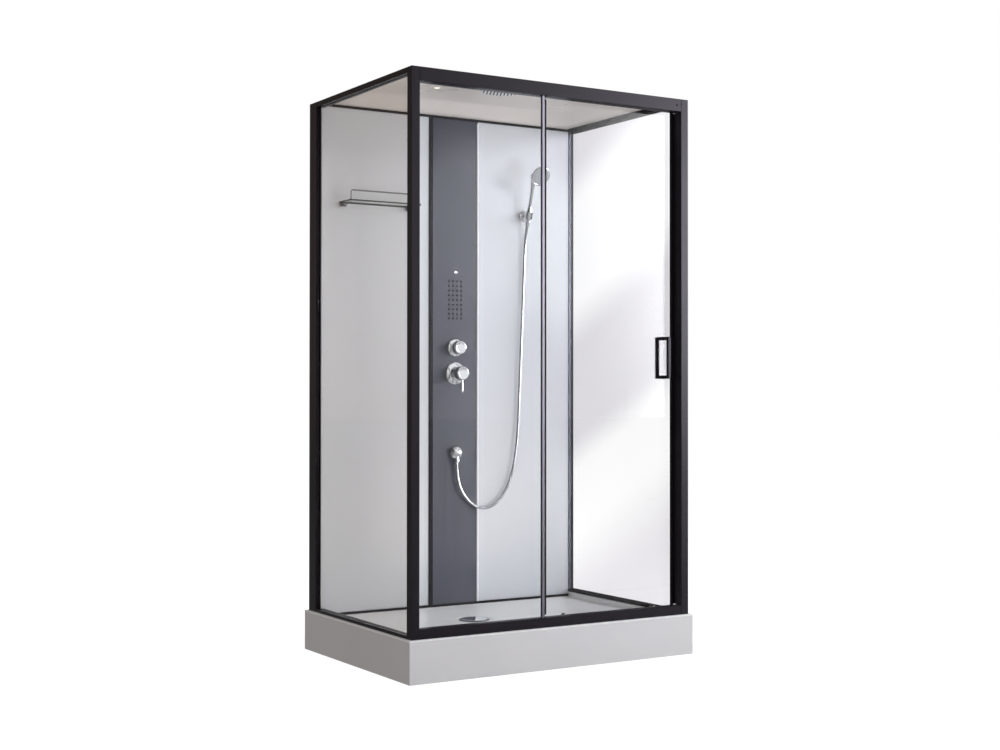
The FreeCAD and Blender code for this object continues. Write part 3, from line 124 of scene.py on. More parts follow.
acrylic = finish("acrylic_vacuum_formed", ("#F7F7F7", "#F3F3F3"), 260, (0.32, 0.42), 7, 0.012,
                 {"IOR": 1.49, "Coat Weight": 0.1, "Coat Roughness": 0.12})
dress(acrylic, 2.2, "tray_basin")
# The skirts are the same white acrylic as the basin, tinted greyer: painted shade on their upright faces.
skirt_painted_shade = finish("acrylic_skirt_painted_shade", ("#DCDADB", "#D6D4D5"), 220, (0.34, 0.44), 7, 0.012, {"IOR": 1.49})
dress(skirt_painted_shade, 1.2, "apron_front", "side_aprons")

# Underframe and feet: welded square tube on six threaded feet that are locked by nuts, all zinc plated.
# Zinc shows a dull grey with a spangle of small crystals.
zinc = finish("zinc_plated_steel", ("#A6A9AC", "#8C9094"), 14, (0.34, 0.52), 3, 0.02, {"Metallic": 1.0})
dress(zinc, 0.8, "tray_frame")
dress(zinc, 0.0, "levelling_feet")

# Drain: a polypropylene trap under the floor, a steel ring in the sump, and a loose crowned chrome cover.
# Chrome plate is a clean mirror with the faintest haze; the trap is plain moulded white plastic.
trap_white = finish("polypropylene_moulded", ("#E4E4DF", "#DADAD5"), 60, (0.42, 0.55), 2, 0.02, {"IOR": 1.49})
dress(trap_white, 0.0, "drain_trap")
chrome = finish("chrome_plate", ("#E6E8EA", "#DCDEE1"), 45, (0.05, 0.11), 9, 0.004, {"Metallic": 1.0})
# The steel ring is tinted dark as painted shade, so that it draws the shaded slit around the cover.
steel_painted_shade = finish("steel_brushed_painted_shade", ("#6E7075", "#606267"), 30, (0.28, 0.38), 2, 0.01, {"Metallic": 1.0})
drain_at = np.array([-100.0, 0.0, 128.0])
up = np.array([0.0, 0.0, 1.0])
off_axis = (0.31, 0.52, 0.79)
sharp_turn = math.radians(38)


def eased(corners, reach, steps=6, most_share=0.48):
    """A broken line with its inner corners eased by parabolas.

    Each parabola leaves the line at reach before the corner and joins it at reach after it: with t from 0 to 1,
    a point is (1 - t)^2 start + 2 t (1 - t) corner + t^2 end. It gives profiles their radii and pipes their bends.
    A reach takes up at most a share of the shorter of the two lines at its corner.
    """
    line = np.asarray(corners, float)
    here = line[1:-1]
    before = line[:-2] - here
    after = line[2:] - here
    span = np.stack([np.linalg.norm(before, axis=1), np.linalg.norm(after, axis=1)], 1)
    cut = np.minimum(reach, most_share * span.min(1))[:, None]
    start = (here + before * cut / span[:, :1])[:, None]
    end = (here + after * cut / span[:, 1:])[:, None]
    t = np.linspace(0, 1, steps)[None, :, None]
    bends = (1 - t) ** 2 * start + 2 * t * (1 - t) * here[:, None] + t ** 2 * end
    return np.concatenate([line[:1], bends.reshape(-1, line.shape[1]), line[-1:]])


def unit(vectors):
    """Vectors made one long."""
    vectors = np.asarray(vectors, float)
    return vectors / np.linalg.norm(vectors, axis=-1, keepdims=True)


def turned(profile, base, axis, columns=72):
    """A profile turned on a lathe: base + height x axis + radius x (cos a x across + sin a x beside)."""
    profile = np.asarray(profile, float)
    axis = unit(axis)
    across = unit(np.cross(axis, off_axis))
    beside = np.cross(axis, across)
    a = np.linspace(0, 2 * np.pi, columns + 1)[:, None]
    ring = np.cos(a) * across + np.sin(a) * beside
    return np.asarray(base, float) + profile[:, 1, None, None] * axis + profile[:, 0, None, None] * ring


def piece(name, material, body, grids, stands_for=()):
    """One mesh object from grids of points, with its finish, its body and the nodes it stands for.

    Four neighbours of a grid make a face. Points that fall together are welded, which closes seams and poles.
    """
    first = np.cumsum([0] + [grid.shape[0] * grid.shape[1] for grid in grids])
    faces = []
    for start, grid in zip(first, grids):
        corner = np.arange(grid.shape[0] * grid.shape[1]).reshape(grid.shape[:2]) + start
        quad = np.stack([corner[:-1, :-1], corner[1:, :-1], corner[1:, 1:], corner[:-1, 1:]], -1)
        faces.append(quad.reshape(-1, 4))
    points = np.concatenate([grid.reshape(-1, 3) for grid in grids]) * metre
    mesh = bpy.data.meshes.new(name)
    mesh.from_pydata(points.tolist(), [], np.concatenate(faces).tolist())
    skin = bmesh.new()
    skin.from_mesh(mesh)
    bmesh.ops.remove_doubles(skin, verts=skin.verts, dist=0.1 * weld_reach * metre)
    bmesh.ops.recalc_face_normals(skin, faces=skin.faces)
    skin.to_mesh(mesh)
    skin.free()
    mesh.polygons.foreach_set("use_smooth", np.ones(len(mesh.polygons), bool))
    mesh.set_sharp_from_angle(angle=sharp_turn)
    mesh.materials.append(material)
    made = bpy.data.objects.new(name, mesh)
    bpy.context.scene.collection.objects.link(made)
    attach(made, body)
    if stands_for:
        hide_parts(*stands_for)
    return made


bore, collar, lip, lip_high = 39.0, 42.0, 58.0, 3.0
ring_profile = eased([(bore, 2.8), (bore, -22), (collar, -22), (collar, 0), (lip, 0), (lip, 1.2), (56, lip_high),
                      (bore, lip_high), (bore, 2.8)], 0.7)
piece("drain_ring", steel_painted_shade, "cabin", [turned(ring_profile, drain_at, up)], ["drain_flange"])
cover_radius, cover_rim, cover_crown, cover_gap = 50.0, 2.0, 5.0, 0.3
skirt_in, skirt_out, skirt_low = 36.2, 38.7, -12.0
crown_run = np.linspace(cover_radius, 0, 16)
crown = np.stack([crown_run, cover_rim + cover_crown * (1 - (crown_run / cover_radius) ** 2)], 1)
skirt = eased([(0, 0), (skirt_in, 0), (skirt_in, skirt_low), (skirt_out, skirt_low), (skirt_out, 0),
               (cover_radius, 0), (cover_radius, cover_rim)], 0.5)
cover_profile = np.concatenate([skirt, crown[1:]])
cover_at = drain_at + (lip_high + cover_gap) * up
piece("drain_lid", chrome, "drain_cover", [turned(cover_profile, cover_at, up)], ["drain_cover"])

# Frame: hollow aluminium extrusions, satin black powder coat, screwed together at the corners on the tray's rim.
# The coat is a warm black with a fine grit, drawn coarser than its real 0.2 mm so that it shows. Dark lines mark
# where the front rails meet the posts, and two screws show in the front.
powder_black = finish("powder_coat_satin_black", ("#1D191D", "#181518"), 180, (0.22, 0.28), 1.1, 0.01,
                      {"IOR": 1.5, "Specular IOR Level": 0.14, "Specular Tint": linear("#F0ECFF")})
dress(powder_black, 0.9, "post_front_left", "post_front_right", "post_rear_left", "post_rear_right",
      "rail_bottom_front", "rail_bottom_left", "rail_bottom_right", "rail_top_front", "rail_top_left",
      "rail_top_right", "rail_top_rear", "wall_mullion", "wall_edge_trims")
anodised = finish("anodised_satin_black", ("#5E5C64", "#585660"), 160, (0.26, 0.34), 1.4, 0.01, {"Metallic": 1.0})
dress(anodised, 0.6, "fixed_glass_profile")
corner_grey = finish("anodised_dark_grey", ("#494B52", "#43454C"), 160, (0.3, 0.38), 1.4, 0.01, {"Metallic": 1.0})
dress(corner_grey, 0.6, "wall_corner_profile")
front_face = -413.0
forward = np.array([0.0, -1.0, 0.0])
screw_profile = eased([(0, 0.4), (1.3, 0.4), (1.6, 1.3), (2.6, 1.1), (3.6, 0.5), (3.7, -0.5), (0, -0.5)], 0.25, 4)
screw_places = ((-536, 168), (536, 2057))
screw_grids = [turned(screw_profile, (x, front_face, z), forward, 24) for x, z in screw_places]
piece("frame_screws", powder_black, "cabin", screw_grids)
matt_black = finish("epdm_black_matt", ("#0E0E11", "#0A0A0D"), 20, (0.5, 0.62), 1.0, 0.01,
                    {"IOR": 1.43, "Specular IOR Level": 0.1})
joint_x, joint_radius = 556.0, 0.8
joint_runs = ((151, 33), (2034, 45))
joint_grids = [turned([(0, 0), (joint_radius, 0), (joint_radius, high), (0, high)], (x, front_face, low), up, 8)
               for x in (-joint_x, joint_x) for low, high in joint_runs]
piece("frame_joints", matt_black, "cabin", joint_grids)

# Panes: clear tempered float glass, 5 mm, held in the channels of posts and rails.
# Light goes straight through with next to no tint; the gloss grows towards a grazing view, with a few soft smears.
band_low, band_high = -0.3, 2.4
smear_size, smear_from, smear_to, smear_rough = 90.0, 0.45, 0.75, 0.06
least_gloss = 0.015


def pane_glass(name, tints, bands, grazing=0.7):
    """Thin clear glass: a see-through tint, under a gloss of least_gloss + grazing (1 - cos)^5 by the angle of view.

    The tint runs through bands along height + half of depth, in metres, as a painted sheen of reflection on the pane.
    """
    material = bpy.data.materials.new(name)
    material.use_nodes = True
    tree = material.node_tree
    tree.nodes.remove(tree.nodes["Principled BSDF"])
    place = add(tree, "ShaderNodeTexCoord", {}).outputs["Object"]
    axes = add(tree, "ShaderNodeSeparateXYZ", {}, {0: place})
    slant = add(tree, "ShaderNodeMath", {"operation": "MULTIPLY_ADD", 1: 0.5},
                {0: axes.outputs["Y"], 2: axes.outputs["Z"]})
    share = add(tree, "ShaderNodeMapRange", {"From Min": band_low, "From Max": band_high},
                {"Value": slant.outputs["Value"]})
    ramp = add(tree, "ShaderNodeValToRGB", {}, {"Fac": share.outputs["Result"]})
    ramp.color_ramp.interpolation = "EASE"
    stops = ramp.color_ramp.elements
    at = [(height - band_low) / (band_high - band_low) for height, tint in bands]
    stops[0].position, stops[1].position = at[0], at[-1]
    for middle in at[1:-1]:
        stops.new(middle)
    for stop, (height, tint) in zip(stops, bands):
        stop.color = linear(tints[tint])
    clear = add(tree, "ShaderNodeBsdfTransparent", {}, {"Color": ramp.outputs["Color"]})
    smear = add(tree, "ShaderNodeTexNoise", {"Scale": 1 / (smear_size * metre), "Detail": 4.0}, {"Vector": place})
    haze = add(tree, "ShaderNodeMapRange",
               {"From Min": smear_from, "From Max": smear_to, "To Min": 0.0, "To Max": smear_rough},
               {"Value": smear.outputs["Fac"]})
    gloss = add(tree, "ShaderNodeBsdfAnisotropic", {}, {"Roughness": haze.outputs["Result"]})
    facing = add(tree, "ShaderNodeLayerWeight", {"Blend": 0.5})
    steep = add(tree, "ShaderNodeMath", {"operation": "POWER", 1: 5.0}, {0: facing.outputs["Facing"]})
    mirror = add(tree, "ShaderNodeMath", {"operation": "MULTIPLY_ADD", 1: grazing, 2: least_gloss},
                 {0: steep.outputs["Value"]})
    mixed = add(tree, "ShaderNodeMixShader", {},
                {0: mirror.outputs["Value"], 1: clear.outputs["BSDF"], 2: gloss.outputs["BSDF"]})
    tree.links.new(mixed.outputs["Shader"], tree.nodes["Material Output"].inputs["Surface"])
    return material


clear_glass = pane_glass("float_glass_clear", ("#FEFEFE", "#FCFCFD"), ((0.0, 0), (2.0, 1)))
# The right pane's tint runs in diagonal bands of grey and white: a painted reflection on the pane.
painted_sheen_glass = pane_glass("float_glass_painted_sheen", ("#FFFFFF", "#EFEEF0"),
                         ((0.22, 1), (0.62, 0), (0.79, 0), (0.97, 1), (1.29, 1), (1.53, 0), (1.89, 0), (2.12, 1)))
left_glass = pane_glass("float_glass_left", ("#F9F7F5", "#F7F5F3"), ((0.0, 0), (2.0, 1)))
dress(clear_glass, 0.0, "fixed_glass_front")
dress(left_glass, 0.0, "glass_left")
dress(painted_sheen_glass, 0.0, "glass_right")

# Back wall: two panels of tempered glass painted white on their backs, which stand on the tray's ledge.
# The paint is seen through the glass, so a cool pale grey lies under a hard gloss.
white_glass = finish("glass_back_painted_white", ("#E9ECF0", "#E4E8EC"), 500, (0.30, 0.38), 30, 0.004,
                     {"IOR": 1.5, "Coat Weight": 0.5, "Coat Roughness": 0.05})
dress(white_glass, 0.5, "wall_panel_left", "wall_panel_right")

# Column: a drilled panel of glass painted blue-grey on its back, joined to the right panel by a white silicone bead.
# The paint was rolled on upright, which leaves faint streaks about 12 mm wide.
column_glass = finish("glass_back_painted_grey", ("#3A3D4A", "#343744"), 320, (0.36, 0.46), 25, 0.004,
                      {"IOR": 1.5, "Coat Weight": 0.25, "Coat Roughness": 0.06})
column_tree = column_glass.node_tree
streak_width, streak_stretch, streak_dark, streak_pale = 12.0, 0.012, 0.9, 1.1
streak_place = add(column_tree, "ShaderNodeMapping", {"Scale": (1.0, 1.0, streak_stretch)},
                   {"Vector": column_tree.nodes["Texture Coordinate"].outputs["Object"]})
streaks = add(column_tree, "ShaderNodeTexNoise", {"Scale": 1 / (streak_width * metre), "Detail": 2.0},
              {"Vector": streak_place.outputs["Vector"]})
streak_tint = add(column_tree, "ShaderNodeMapRange",
                  {"From Min": 0.3, "From Max": 0.7, "To Min": streak_dark, "To Max": streak_pale},
                  {"Value": streaks.outputs["Fac"]})
paint = column_tree.nodes["Mix"]
rolled = add(column_tree, "ShaderNodeVectorMath", {"operation": "SCALE"},
             {0: paint.outputs[2], "Scale": streak_tint.outputs["Result"]})
column_tree.links.new(rolled.outputs["Vector"], column_tree.nodes["Principled BSDF"].inputs["Base Color"])
dress(column_glass, 0.4, "column_panel")
# The white bead also glows faintly by its emission: a painted highlight along the edge where the column meets the
# right panel.
silicone_painted_glow = finish("silicone_white_painted_glow", ("#FBFBFD", "#F6F6F9"), 40, (0.4, 0.5), 5, 0.02,
                  {"IOR": 1.41, "Emission Color": linear("#F4F6FF"), "Emission Strength": 0.12})
wall_front = 345.0


def tube(path, radius, side, columns=20, wide=1.0):
    """A closed tube: path + radius x (cos a x across + wide x sin a x beside), square to the path.

    across is the cross product of the side direction and the path's, so the side is never along the path. The tube
    is round where wide is 1, and oval towards the side where wide is more.
    """
    path = np.asarray(path, float)
    along = unit(np.gradient(path, axis=0))
    across = unit(np.cross(side, along))
    beside = np.cross(along, across)
    a = np.linspace(0, 2 * np.pi, columns + 1)[None, :, None]
    reach = np.broadcast_to(radius, len(path))[:, None, None]
    broad = np.broadcast_to(wide, len(path))[:, None, None]
    wall = path[:, None] + reach * (np.cos(a) * across[:, None] + broad * np.sin(a) * beside[:, None])
    ends = np.repeat(path[[0, -1]][:, None], columns + 1, axis=1)
    return np.concatenate([ends[:1], wall, ends[1:]])


bead_x, bead_foot, bead_top, bead_radius = 117.3, 142.0, 2058.0, 4.0
bead_rise = np.linspace(bead_foot, bead_top, 3)
bead_path = np.stack([np.full(3, bead_x), np.full(3, wall_front), bead_rise], 1)
piece("panel_bead", silicone_painted_glow, "cabin", [tube(bead_path, bead_radius, (1, 0, 0), 12)])

# Body jets: a grid of soft rubber nozzles pushed through the column, and one chromed jet above them.
# Each nozzle is a blunt cone with a dimple; the moulded rubber is dull and almost black.
rubber = finish("silicone_rubber_black", ("#1C1B1C", "#141314"), 12, (0.48, 0.6), 0.8, 0.01, {"IOR": 1.43})
column_x = 14.0
jet_pitch, jet_middle, single_height = 18.5, 1348.0, 1458.0
jet_x = column_x + jet_pitch * (np.arange(4) - 1.5)
jet_z = jet_middle + jet_pitch * (np.arange(9) - 4)
jet_profile = eased([(0, 1.2), (0.9, 1.4), (1.3, 3.0), (2.5, 3.0), (4.0, 1.5), (4.0, -8), (0, -8)], 0.5, 3)
jet_grids = [turned(jet_profile, (x, wall_front, z), forward, 16) for z in jet_z for x in jet_x]
piece("body_jets", rubber, "cabin", jet_grids, ["jet_nozzles"])
single_profile = eased([(0, 2.2), (1.4, 2.4), (2.2, 4.6), (5.0, 5.0), (8.0, 2.5), (8.0, 0), (5.0, 0), (5.0, -22),
                        (0, -22)], 0.8)
single_at = (column_x, wall_front, single_height)
piece("single_jet", chrome, "cabin", [turned(single_profile, single_at, forward)], ["upper_jet"])
black_plastic = finish("abs_moulded_black", ("#201F20", "#191819"), 40, (0.42, 0.52), 1.5, 0.02, {"IOR": 1.53})
dress(black_plastic, 1.0, "jet_manifold")

# Valve bodies and pipes: brass castings behind the column, and grey plastic pipes to jets, hose outlet and roof.
# Cast brass is satin and a little uneven; the pipes are plain extruded polybutylene.
brass = finish("brass_cast", ("#B08D4A", "#9C7B3F"), 18, (0.28, 0.42), 1.6, 0.03, {"Metallic": 1.0})
dress(brass, 1.2, "valve_block")
dress(brass, 0.0, "mixer_stem")
pipe_grey = finish("polybutylene_pipe", ("#8E9297", "#858A90"), 70, (0.38, 0.48), 3, 0.01, {"IOR": 1.5})
pipe_y = 367.0
pipe_radius = 7.0
pipe_side = (1.0, -0.6, 0.35)
jets_pipe = eased([(14, pipe_y, 1180), (14, pipe_y, 1220), (14, pipe_y, 1261)], 2)
outlet_pipe = eased([(-12, pipe_y, 1157), (-54, pipe_y, 1157), (-54, pipe_y, 739), (6, pipe_y, 739)], 26, 10)
rain_pipe = eased([(40, pipe_y, 1157), (92, pipe_y, 1157), (92, pipe_y, 2143), (14, 290, 2143), (-30, -80, 2143),
                   (-30, -80, 2134)], np.array([26, 24, 24, 8]), 10)
piece("water_pipes", pipe_grey, "cabin",
      [tube(path, pipe_radius, pipe_side) for path in (jets_pipe, outlet_pipe, rain_pipe)], ["supply_pipes"])

# Mixer: a chromed cover plate with a ball-ended sleeve, and a lever cap that turns and tilts over it.
# The cap is a thick turned disc, and its lever is a plain pin with a round end.
mixer_at = np.array([column_x, wall_front, 1055.0])
pivot_out = 8.0
seat_ball, inner_ball, cap_ball = 36.8, 34.3, 37.1


def on_ball(ball, radius):
    """How far a ball about the mixer's pivot stands out of the wall at a radius from its axis."""
    return pivot_out + np.sqrt(ball ** 2 - np.asarray(radius, float) ** 2)


seat_run = np.linspace(27, 18, 10)
seat = np.stack([seat_run, on_ball(seat_ball, seat_run)], 1)
inner_run = np.linspace(18, 20, 4)
inner = np.stack([inner_run, on_ball(inner_ball, inner_run)], 1)
plate = eased([(20, 0), (45, 0), (45, 2.4), (42, 5.6), (31, 9), (27, 9.6), seat[0]], 1.6)
plate_profile = np.concatenate([plate, seat[1:], inner, [(20, 0)]])
piece("mixer_plate", chrome, "cabin", [turned(plate_profile, mixer_at, forward)], ["mixer_rose"])
hollow_run = np.linspace(26.6, 0, 14)
hollow = np.stack([hollow_run, on_ball(cap_ball, hollow_run)], 1)
cap_profile = np.concatenate([
    eased([(0, 65.2), (18, 65.6), (24.5, 66), (27, 62.5), (27, 36), hollow[0]], 1.4), hollow[1:]])
lever_path = eased([(14, 290, 1041), (14, 290.6, 1010), (14, 286, 976)], 24, 14)
pin_radius, round_from, least_round = 4.0, 0.93, 0.02
lever_share = np.linspace(0, 1, len(lever_path))
tip_share = np.maximum(0, (lever_share - round_from) / (1 - round_from))
lever_radius = pin_radius * np.sqrt(np.clip(1 - tip_share ** 2, least_round, 1))
neck_profile = eased([(0, -1), (4, -1), (4, 40), (0, 40)], 0.3)
eye_profile = eased([(0, -4), (6, -4), (6, 4), (0, 4)], 0.6)
pivot = mixer_at + pivot_out * forward
piece("mixer_lever", chrome, "mixer_handle",
      [turned(cap_profile, mixer_at, forward), tube(lever_path, lever_radius, (1, 0, 0)),
       turned(neck_profile, pivot, forward, 24), turned(eye_profile, pivot, (1, 0, 0), 32)], ["mixer_handle"])

# Diverter: a smaller plate with a waisted knob that picks where the water goes, with a raised index dot.
# Both are turned brass under chrome.
diverter_at = np.array([column_x, wall_front, 1157.0])
knob_face, dot_out = 45.8, 17.0
small_plate = eased([(4.3, 0), (36, 0), (36, 2.4), (33.5, 5.6), (26, 8), (4.3, 8), (4.3, 0)], 1.4)
piece("diverter_plate", chrome, "cabin", [turned(small_plate, diverter_at, forward)], ["diverter_rose"])
knob_profile = eased([(0, -16), (4, -16), (4, 8.3), (23.4, 8.3), (24.2, 12), (27.2, 25), (27.5, 41), (24.5, 46),
                      (17, 45.4), (0, 45)], np.array([0.3, 1, 0.8, 2, 4, 3, 2.4, 2]))
dot_profile = eased([(0, -0.8), (2, -0.8), (2, 0.6), (1.2, 1.0), (0, 1.0)], 0.4)
dot_at = diverter_at + knob_face * forward + dot_out * up
piece("diverter_grip", chrome, "diverter_knob",
      [turned(knob_profile, diverter_at, forward), turned(dot_profile, dot_at, forward, 20)],
      ["diverter_knob"])

# Hose outlet: a dome on the column, and a short spout under it with the nut of the hose.
# Both are cast brass, polished and chromed.
elbow_at = np.array([column_x, wall_front, 739.0])
spout_at = np.array([column_x, 331.0, 698.0])
dome_turn = np.linspace(0, math.pi / 2, 16)
dome_radius, dome_foot, dome_high = 28.0, 4.0, 22.0
dome = np.stack([dome_radius * np.cos(dome_turn), dome_foot + dome_high * np.sin(dome_turn)], 1)
shank = eased([(0, -34), (8, -34), (8, 0), (dome_radius, 0), (dome_radius, dome_foot)], 0.6)
shell_profile = np.concatenate([shank[:-1], dome])
nut_profile = eased([(0, 0), (8, 0), (9.5, 3), (9.5, 13), (8, 13), (8, 41), (0, 41)], 0.7)
piece("hose_outlet", chrome, "cabin",
      [turned(shell_profile, elbow_at, forward), turned(nut_profile, spout_at, up, 48)], ["hose_elbow"])

# Hand shower and its holder: a chromed wall bracket with a slotted cone, and a hand shower that hangs in it.
# The hand shower is one smooth plated moulding, with a pale spray face of small rubber nozzles.
holder_at = np.array([334.0, wall_front, 1700.0])
cone_at = np.array([334.0, 304.0, 1700.0])
lean = math.radians(15)


def leaning(points):
    """Points from the holder's own upright frame, tipped forward about X by the lean and set at its cone."""
    tip = np.array([[1, 0, 0], [0, math.cos(lean), -math.sin(lean)], [0, math.sin(lean), math.cos(lean)]])
    return np.asarray(points, float) @ tip.T + cone_at


arm_profile = eased([(0, 0), (23, 0), (23, 3), (20.5, 6), (11, 9), (9, 13), (9, 28), (0, 28)],
                    np.array([0.5, 1, 2, 3, 3, 0.5]))
slot_turn = math.radians(34)
clip_steps = 60
clip_turn = np.linspace(slot_turn, 2 * np.pi - slot_turn, clip_steps)[:, None]
clip_line = eased([(12.1, 0), (12.9, 14), (17.5, 14), (17.5, -14), (11.3, -14), (12.1, 0)], 1.4)
clip_ring = np.stack([clip_line[:, 0] * np.sin(clip_turn), -clip_line[:, 0] * np.cos(clip_turn),
                      np.broadcast_to(clip_line[:, 1], (clip_steps, len(clip_line)))], -1)
clip_ends = np.broadcast_to(clip_ring[[0, -1]].mean(1, keepdims=True), (2, len(clip_line), 3))
clip = leaning(np.concatenate([clip_ends[:1], clip_ring, clip_ends[1:]]))
piece("shower_clip", chrome, "cabin", [turned(arm_profile, holder_at, forward), clip],
      ["shower_holder"])

neck_bend, neck_foot = 45.0, 125.0
neck_turn = np.linspace(0, math.radians(65), 16)[1:]
grip_rise = np.array([-22, -21, -14, 0, 14, 24, 40, 62, 90, 108, neck_foot])
grip_line = np.stack([0 * grip_rise, 0 * grip_rise, grip_rise], 1)
neck_line = np.stack([0 * neck_turn, neck_bend * (np.cos(neck_turn) - 1),
                      neck_foot + neck_bend * np.sin(neck_turn)], 1)
grip_radius = np.array([9.2, 10, 11, 11.8, 12.6, 9.6, 7.2, 7, 7, 7.2, 7.6])
neck_share = np.linspace(0, 1, len(neck_turn) + 1)[1:]
neck_thin, neck_thick, neck_slim, neck_broad = 7.6, 9.5, 9.5, 33.0
neck_radius = neck_thin + (neck_thick - neck_thin) * neck_share
neck_width = neck_slim + (neck_broad - neck_slim) * (neck_share + neck_share ** 2) / 2
handle_wide = np.concatenate([np.ones(len(grip_rise) - 2), [1.06, 1.2], neck_width / neck_radius])
handle = tube(np.concatenate([grip_line, neck_line]), np.concatenate([grip_radius, neck_radius]), (1, 0, 0), 40,
              handle_wide)
facing = math.radians(105)
spray = np.array([0, -math.sin(facing), math.cos(facing)])
face_at = np.array([0, -51.0, 167.0])
head_profile = eased([(0, 0.2), (36, 0.2), (37, 1.2), (39.5, 1.2), (42, -1), (42, -5), (34, -15), (20, -23.5),
                      (0, -26)], np.array([0.3, 0.4, 1, 1.2, 2, 6, 6]))
hose_nut = eased([(0, -45), (8.5, -45), (10, -39), (10, -24), (9, -22), (0, -22)], 1.0)
piece("hand_shower_body", chrome, "hand_shower",
      [leaning(handle), leaning(turned(head_profile, face_at, spray)), leaning(turned(hose_nut, (0, 0, 0), up, 48))],
      ["hand_shower"])
spray_grey = finish("abs_satin_grey", ("#C9CCD0", "#BFC3C8"), 25, (0.3, 0.4), 1.2, 0.01, {"IOR": 1.53})
face_profile = eased([(0, 1.4), (32, 1.4), (34.4, 0.9), (35, 0), (0, 0)], 0.5)
piece("spray_face", spray_grey, "hand_shower", [leaning(turned(face_profile, face_at, spray))])
across = np.array([1.0, 0, 0])
beside = np.cross(spray, across)
nib_profile = eased([(0, 1.6), (0.7, 1.8), (1.0, 2.6), (1.5, 1.2), (0, 1.2)], 0.2, 3)
face_radius = 34.0
nib_rings = ((1, 0.0), (8, 0.38), (14, 0.70), (20, 0.9))
nib_places = [face_at + share * face_radius * (math.cos(a) * across + math.sin(a) * beside)
              for count, share in nib_rings for a in np.linspace(0, 2 * np.pi, count, endpoint=False)]
piece("spray_nozzles", rubber, "hand_shower",
      [leaning(turned(nib_profile, place, spray, 10)) for place in nib_places])

# Shower hose: smooth silver PVC over a fabric braid, 11 mm thick, from the outlet's nut to the hand shower's nut.
# It hangs in one loop, and the braid shows through as a faint grain under the gloss.
hose_radius = 5.5
hose_route = np.array([
    (14, 331, 698), (14, 331, 650), (29, 330, 595), (64, 329, 546), (114, 328, 514), (170, 328, 516), (220, 328, 553),
    (256, 328, 612), (279, 328, 686), (292, 328.5, 764), (299, 329, 845), (303, 329.2, 928), (331, 331, 1538),
    (334, 331.18, 1598.58), (334, 315.65, 1656.53)])
route_curve = bpy.data.curves.new("hose_route", "CURVE")
route_curve.dimensions = "3D"
route_curve.resolution_u = 24
spline = route_curve.splines.new("NURBS")
spline.points.add(len(hose_route) - 1)
spline.points.foreach_set("co", np.concatenate([hose_route * metre, np.ones((len(hose_route), 1))], 1).ravel())
spline.order_u = 3
spline.use_endpoint_u = True
route_object = bpy.data.objects.new("hose_route", route_curve)
route_mesh = bpy.data.meshes.new_from_object(route_object)
hose_line = np.zeros(3 * len(route_mesh.vertices))
route_mesh.vertices.foreach_get("co", hose_line)
hose_line = hose_line.reshape(-1, 3)
bpy.data.objects.remove(route_object)
bpy.data.meshes.remove(route_mesh)
silver = finish("pvc_hose_silver", ("#B9BCC0", "#ACAFB4"), 30, (0.2, 0.3), 4, 0.03,
                {"IOR": 1.53, "Metallic": 0.85, "Coat Weight": 0.5, "Coat Roughness": 0.08})
hose_grid = tube(hose_line / metre, hose_radius, (0, 1, 0), 24)
hose = piece("hose", silver, "cabin", [hose_grid], ["shower_hose"])
hose.parent = None
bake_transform(hose)

# Shelf: a clear glass plate with dark cut edges on two steel blocks, with a guard along its front, bent from 6 mm
# steel rod. The rod's ends turn down onto two small feet on the glass. The steel is satin chromed.
edge_glass = pane_glass("float_glass_edge_dark", ("#FCFDFD", "#FAFCFB"), ((0.0, 0), (2.0, 1)), grazing=0.12)
edge_tree = edge_glass.node_tree
shell_normal = add(edge_tree, "ShaderNodeSeparateXYZ", {},
                   {0: edge_tree.nodes["Texture Coordinate"].outputs["Normal"]})
flatness = add(edge_tree, "ShaderNodeMath", {"operation": "ABSOLUTE"}, {0: shell_normal.outputs["Z"]})
cut_edge = add(edge_tree, "ShaderNodeBsdfPrincipled", {"Base Color": linear("#2C3331"), "Roughness": 0.3})
sheet = edge_tree.nodes["Material Output"].inputs["Surface"].links[0].from_socket
edged = add(edge_tree, "ShaderNodeMixShader", {},
            {0: flatness.outputs["Value"], 1: cut_edge.outputs["BSDF"], 2: sheet})
edge_tree.links.new(edged.outputs["Shader"], edge_tree.nodes["Material Output"].inputs["Surface"])
dress(edge_glass, 0.0, "shelf_glass")
satin_steel = finish("chrome_satin", ("#8E9195", "#82858A"), 30, (0.3, 0.4), 2, 0.01, {"Metallic": 1.0})
dress(satin_steel, 1.2, "shelf_brackets")
shelf_top, guard_z = 1708.0, 1743.0
guard_left, guard_right, guard_front = -487.0, -197.0, 257.0
guard_radius = 3.0
guard_path = eased([(guard_left, guard_front, shelf_top), (guard_left, guard_front, guard_z),
                    (guard_right, guard_front, guard_z), (guard_right, guard_front, shelf_top)], 7, 10)
foot_profile = eased([(0, 0), (6, 0), (6, 1.2), (4.6, 2), (0, 2)], 0.5)
guard_feet = [turned(foot_profile, (x, guard_front, shelf_top), up, 28) for x in (guard_left, guard_right)]
guard_rod = tube(guard_path, guard_radius, (0, 1, 0))
piece("shelf_guard", satin_steel, "cabin", [guard_rod] + guard_feet, ["shelf_gallery"])

# Sliding door: a drilled clear pane with a black stile on its closing edge, a rubber splash seal on the other, and
# square-bar handles bolted through it. The closing strip of the jamb stands on the right post.
dress(clear_glass, 0.0, "door_glass")
dress(powder_black, 0.8, "door_stile", "door_jamb", "handle_outer", "handle_inner")
dress(matt_black, 0.4, "door_seal")

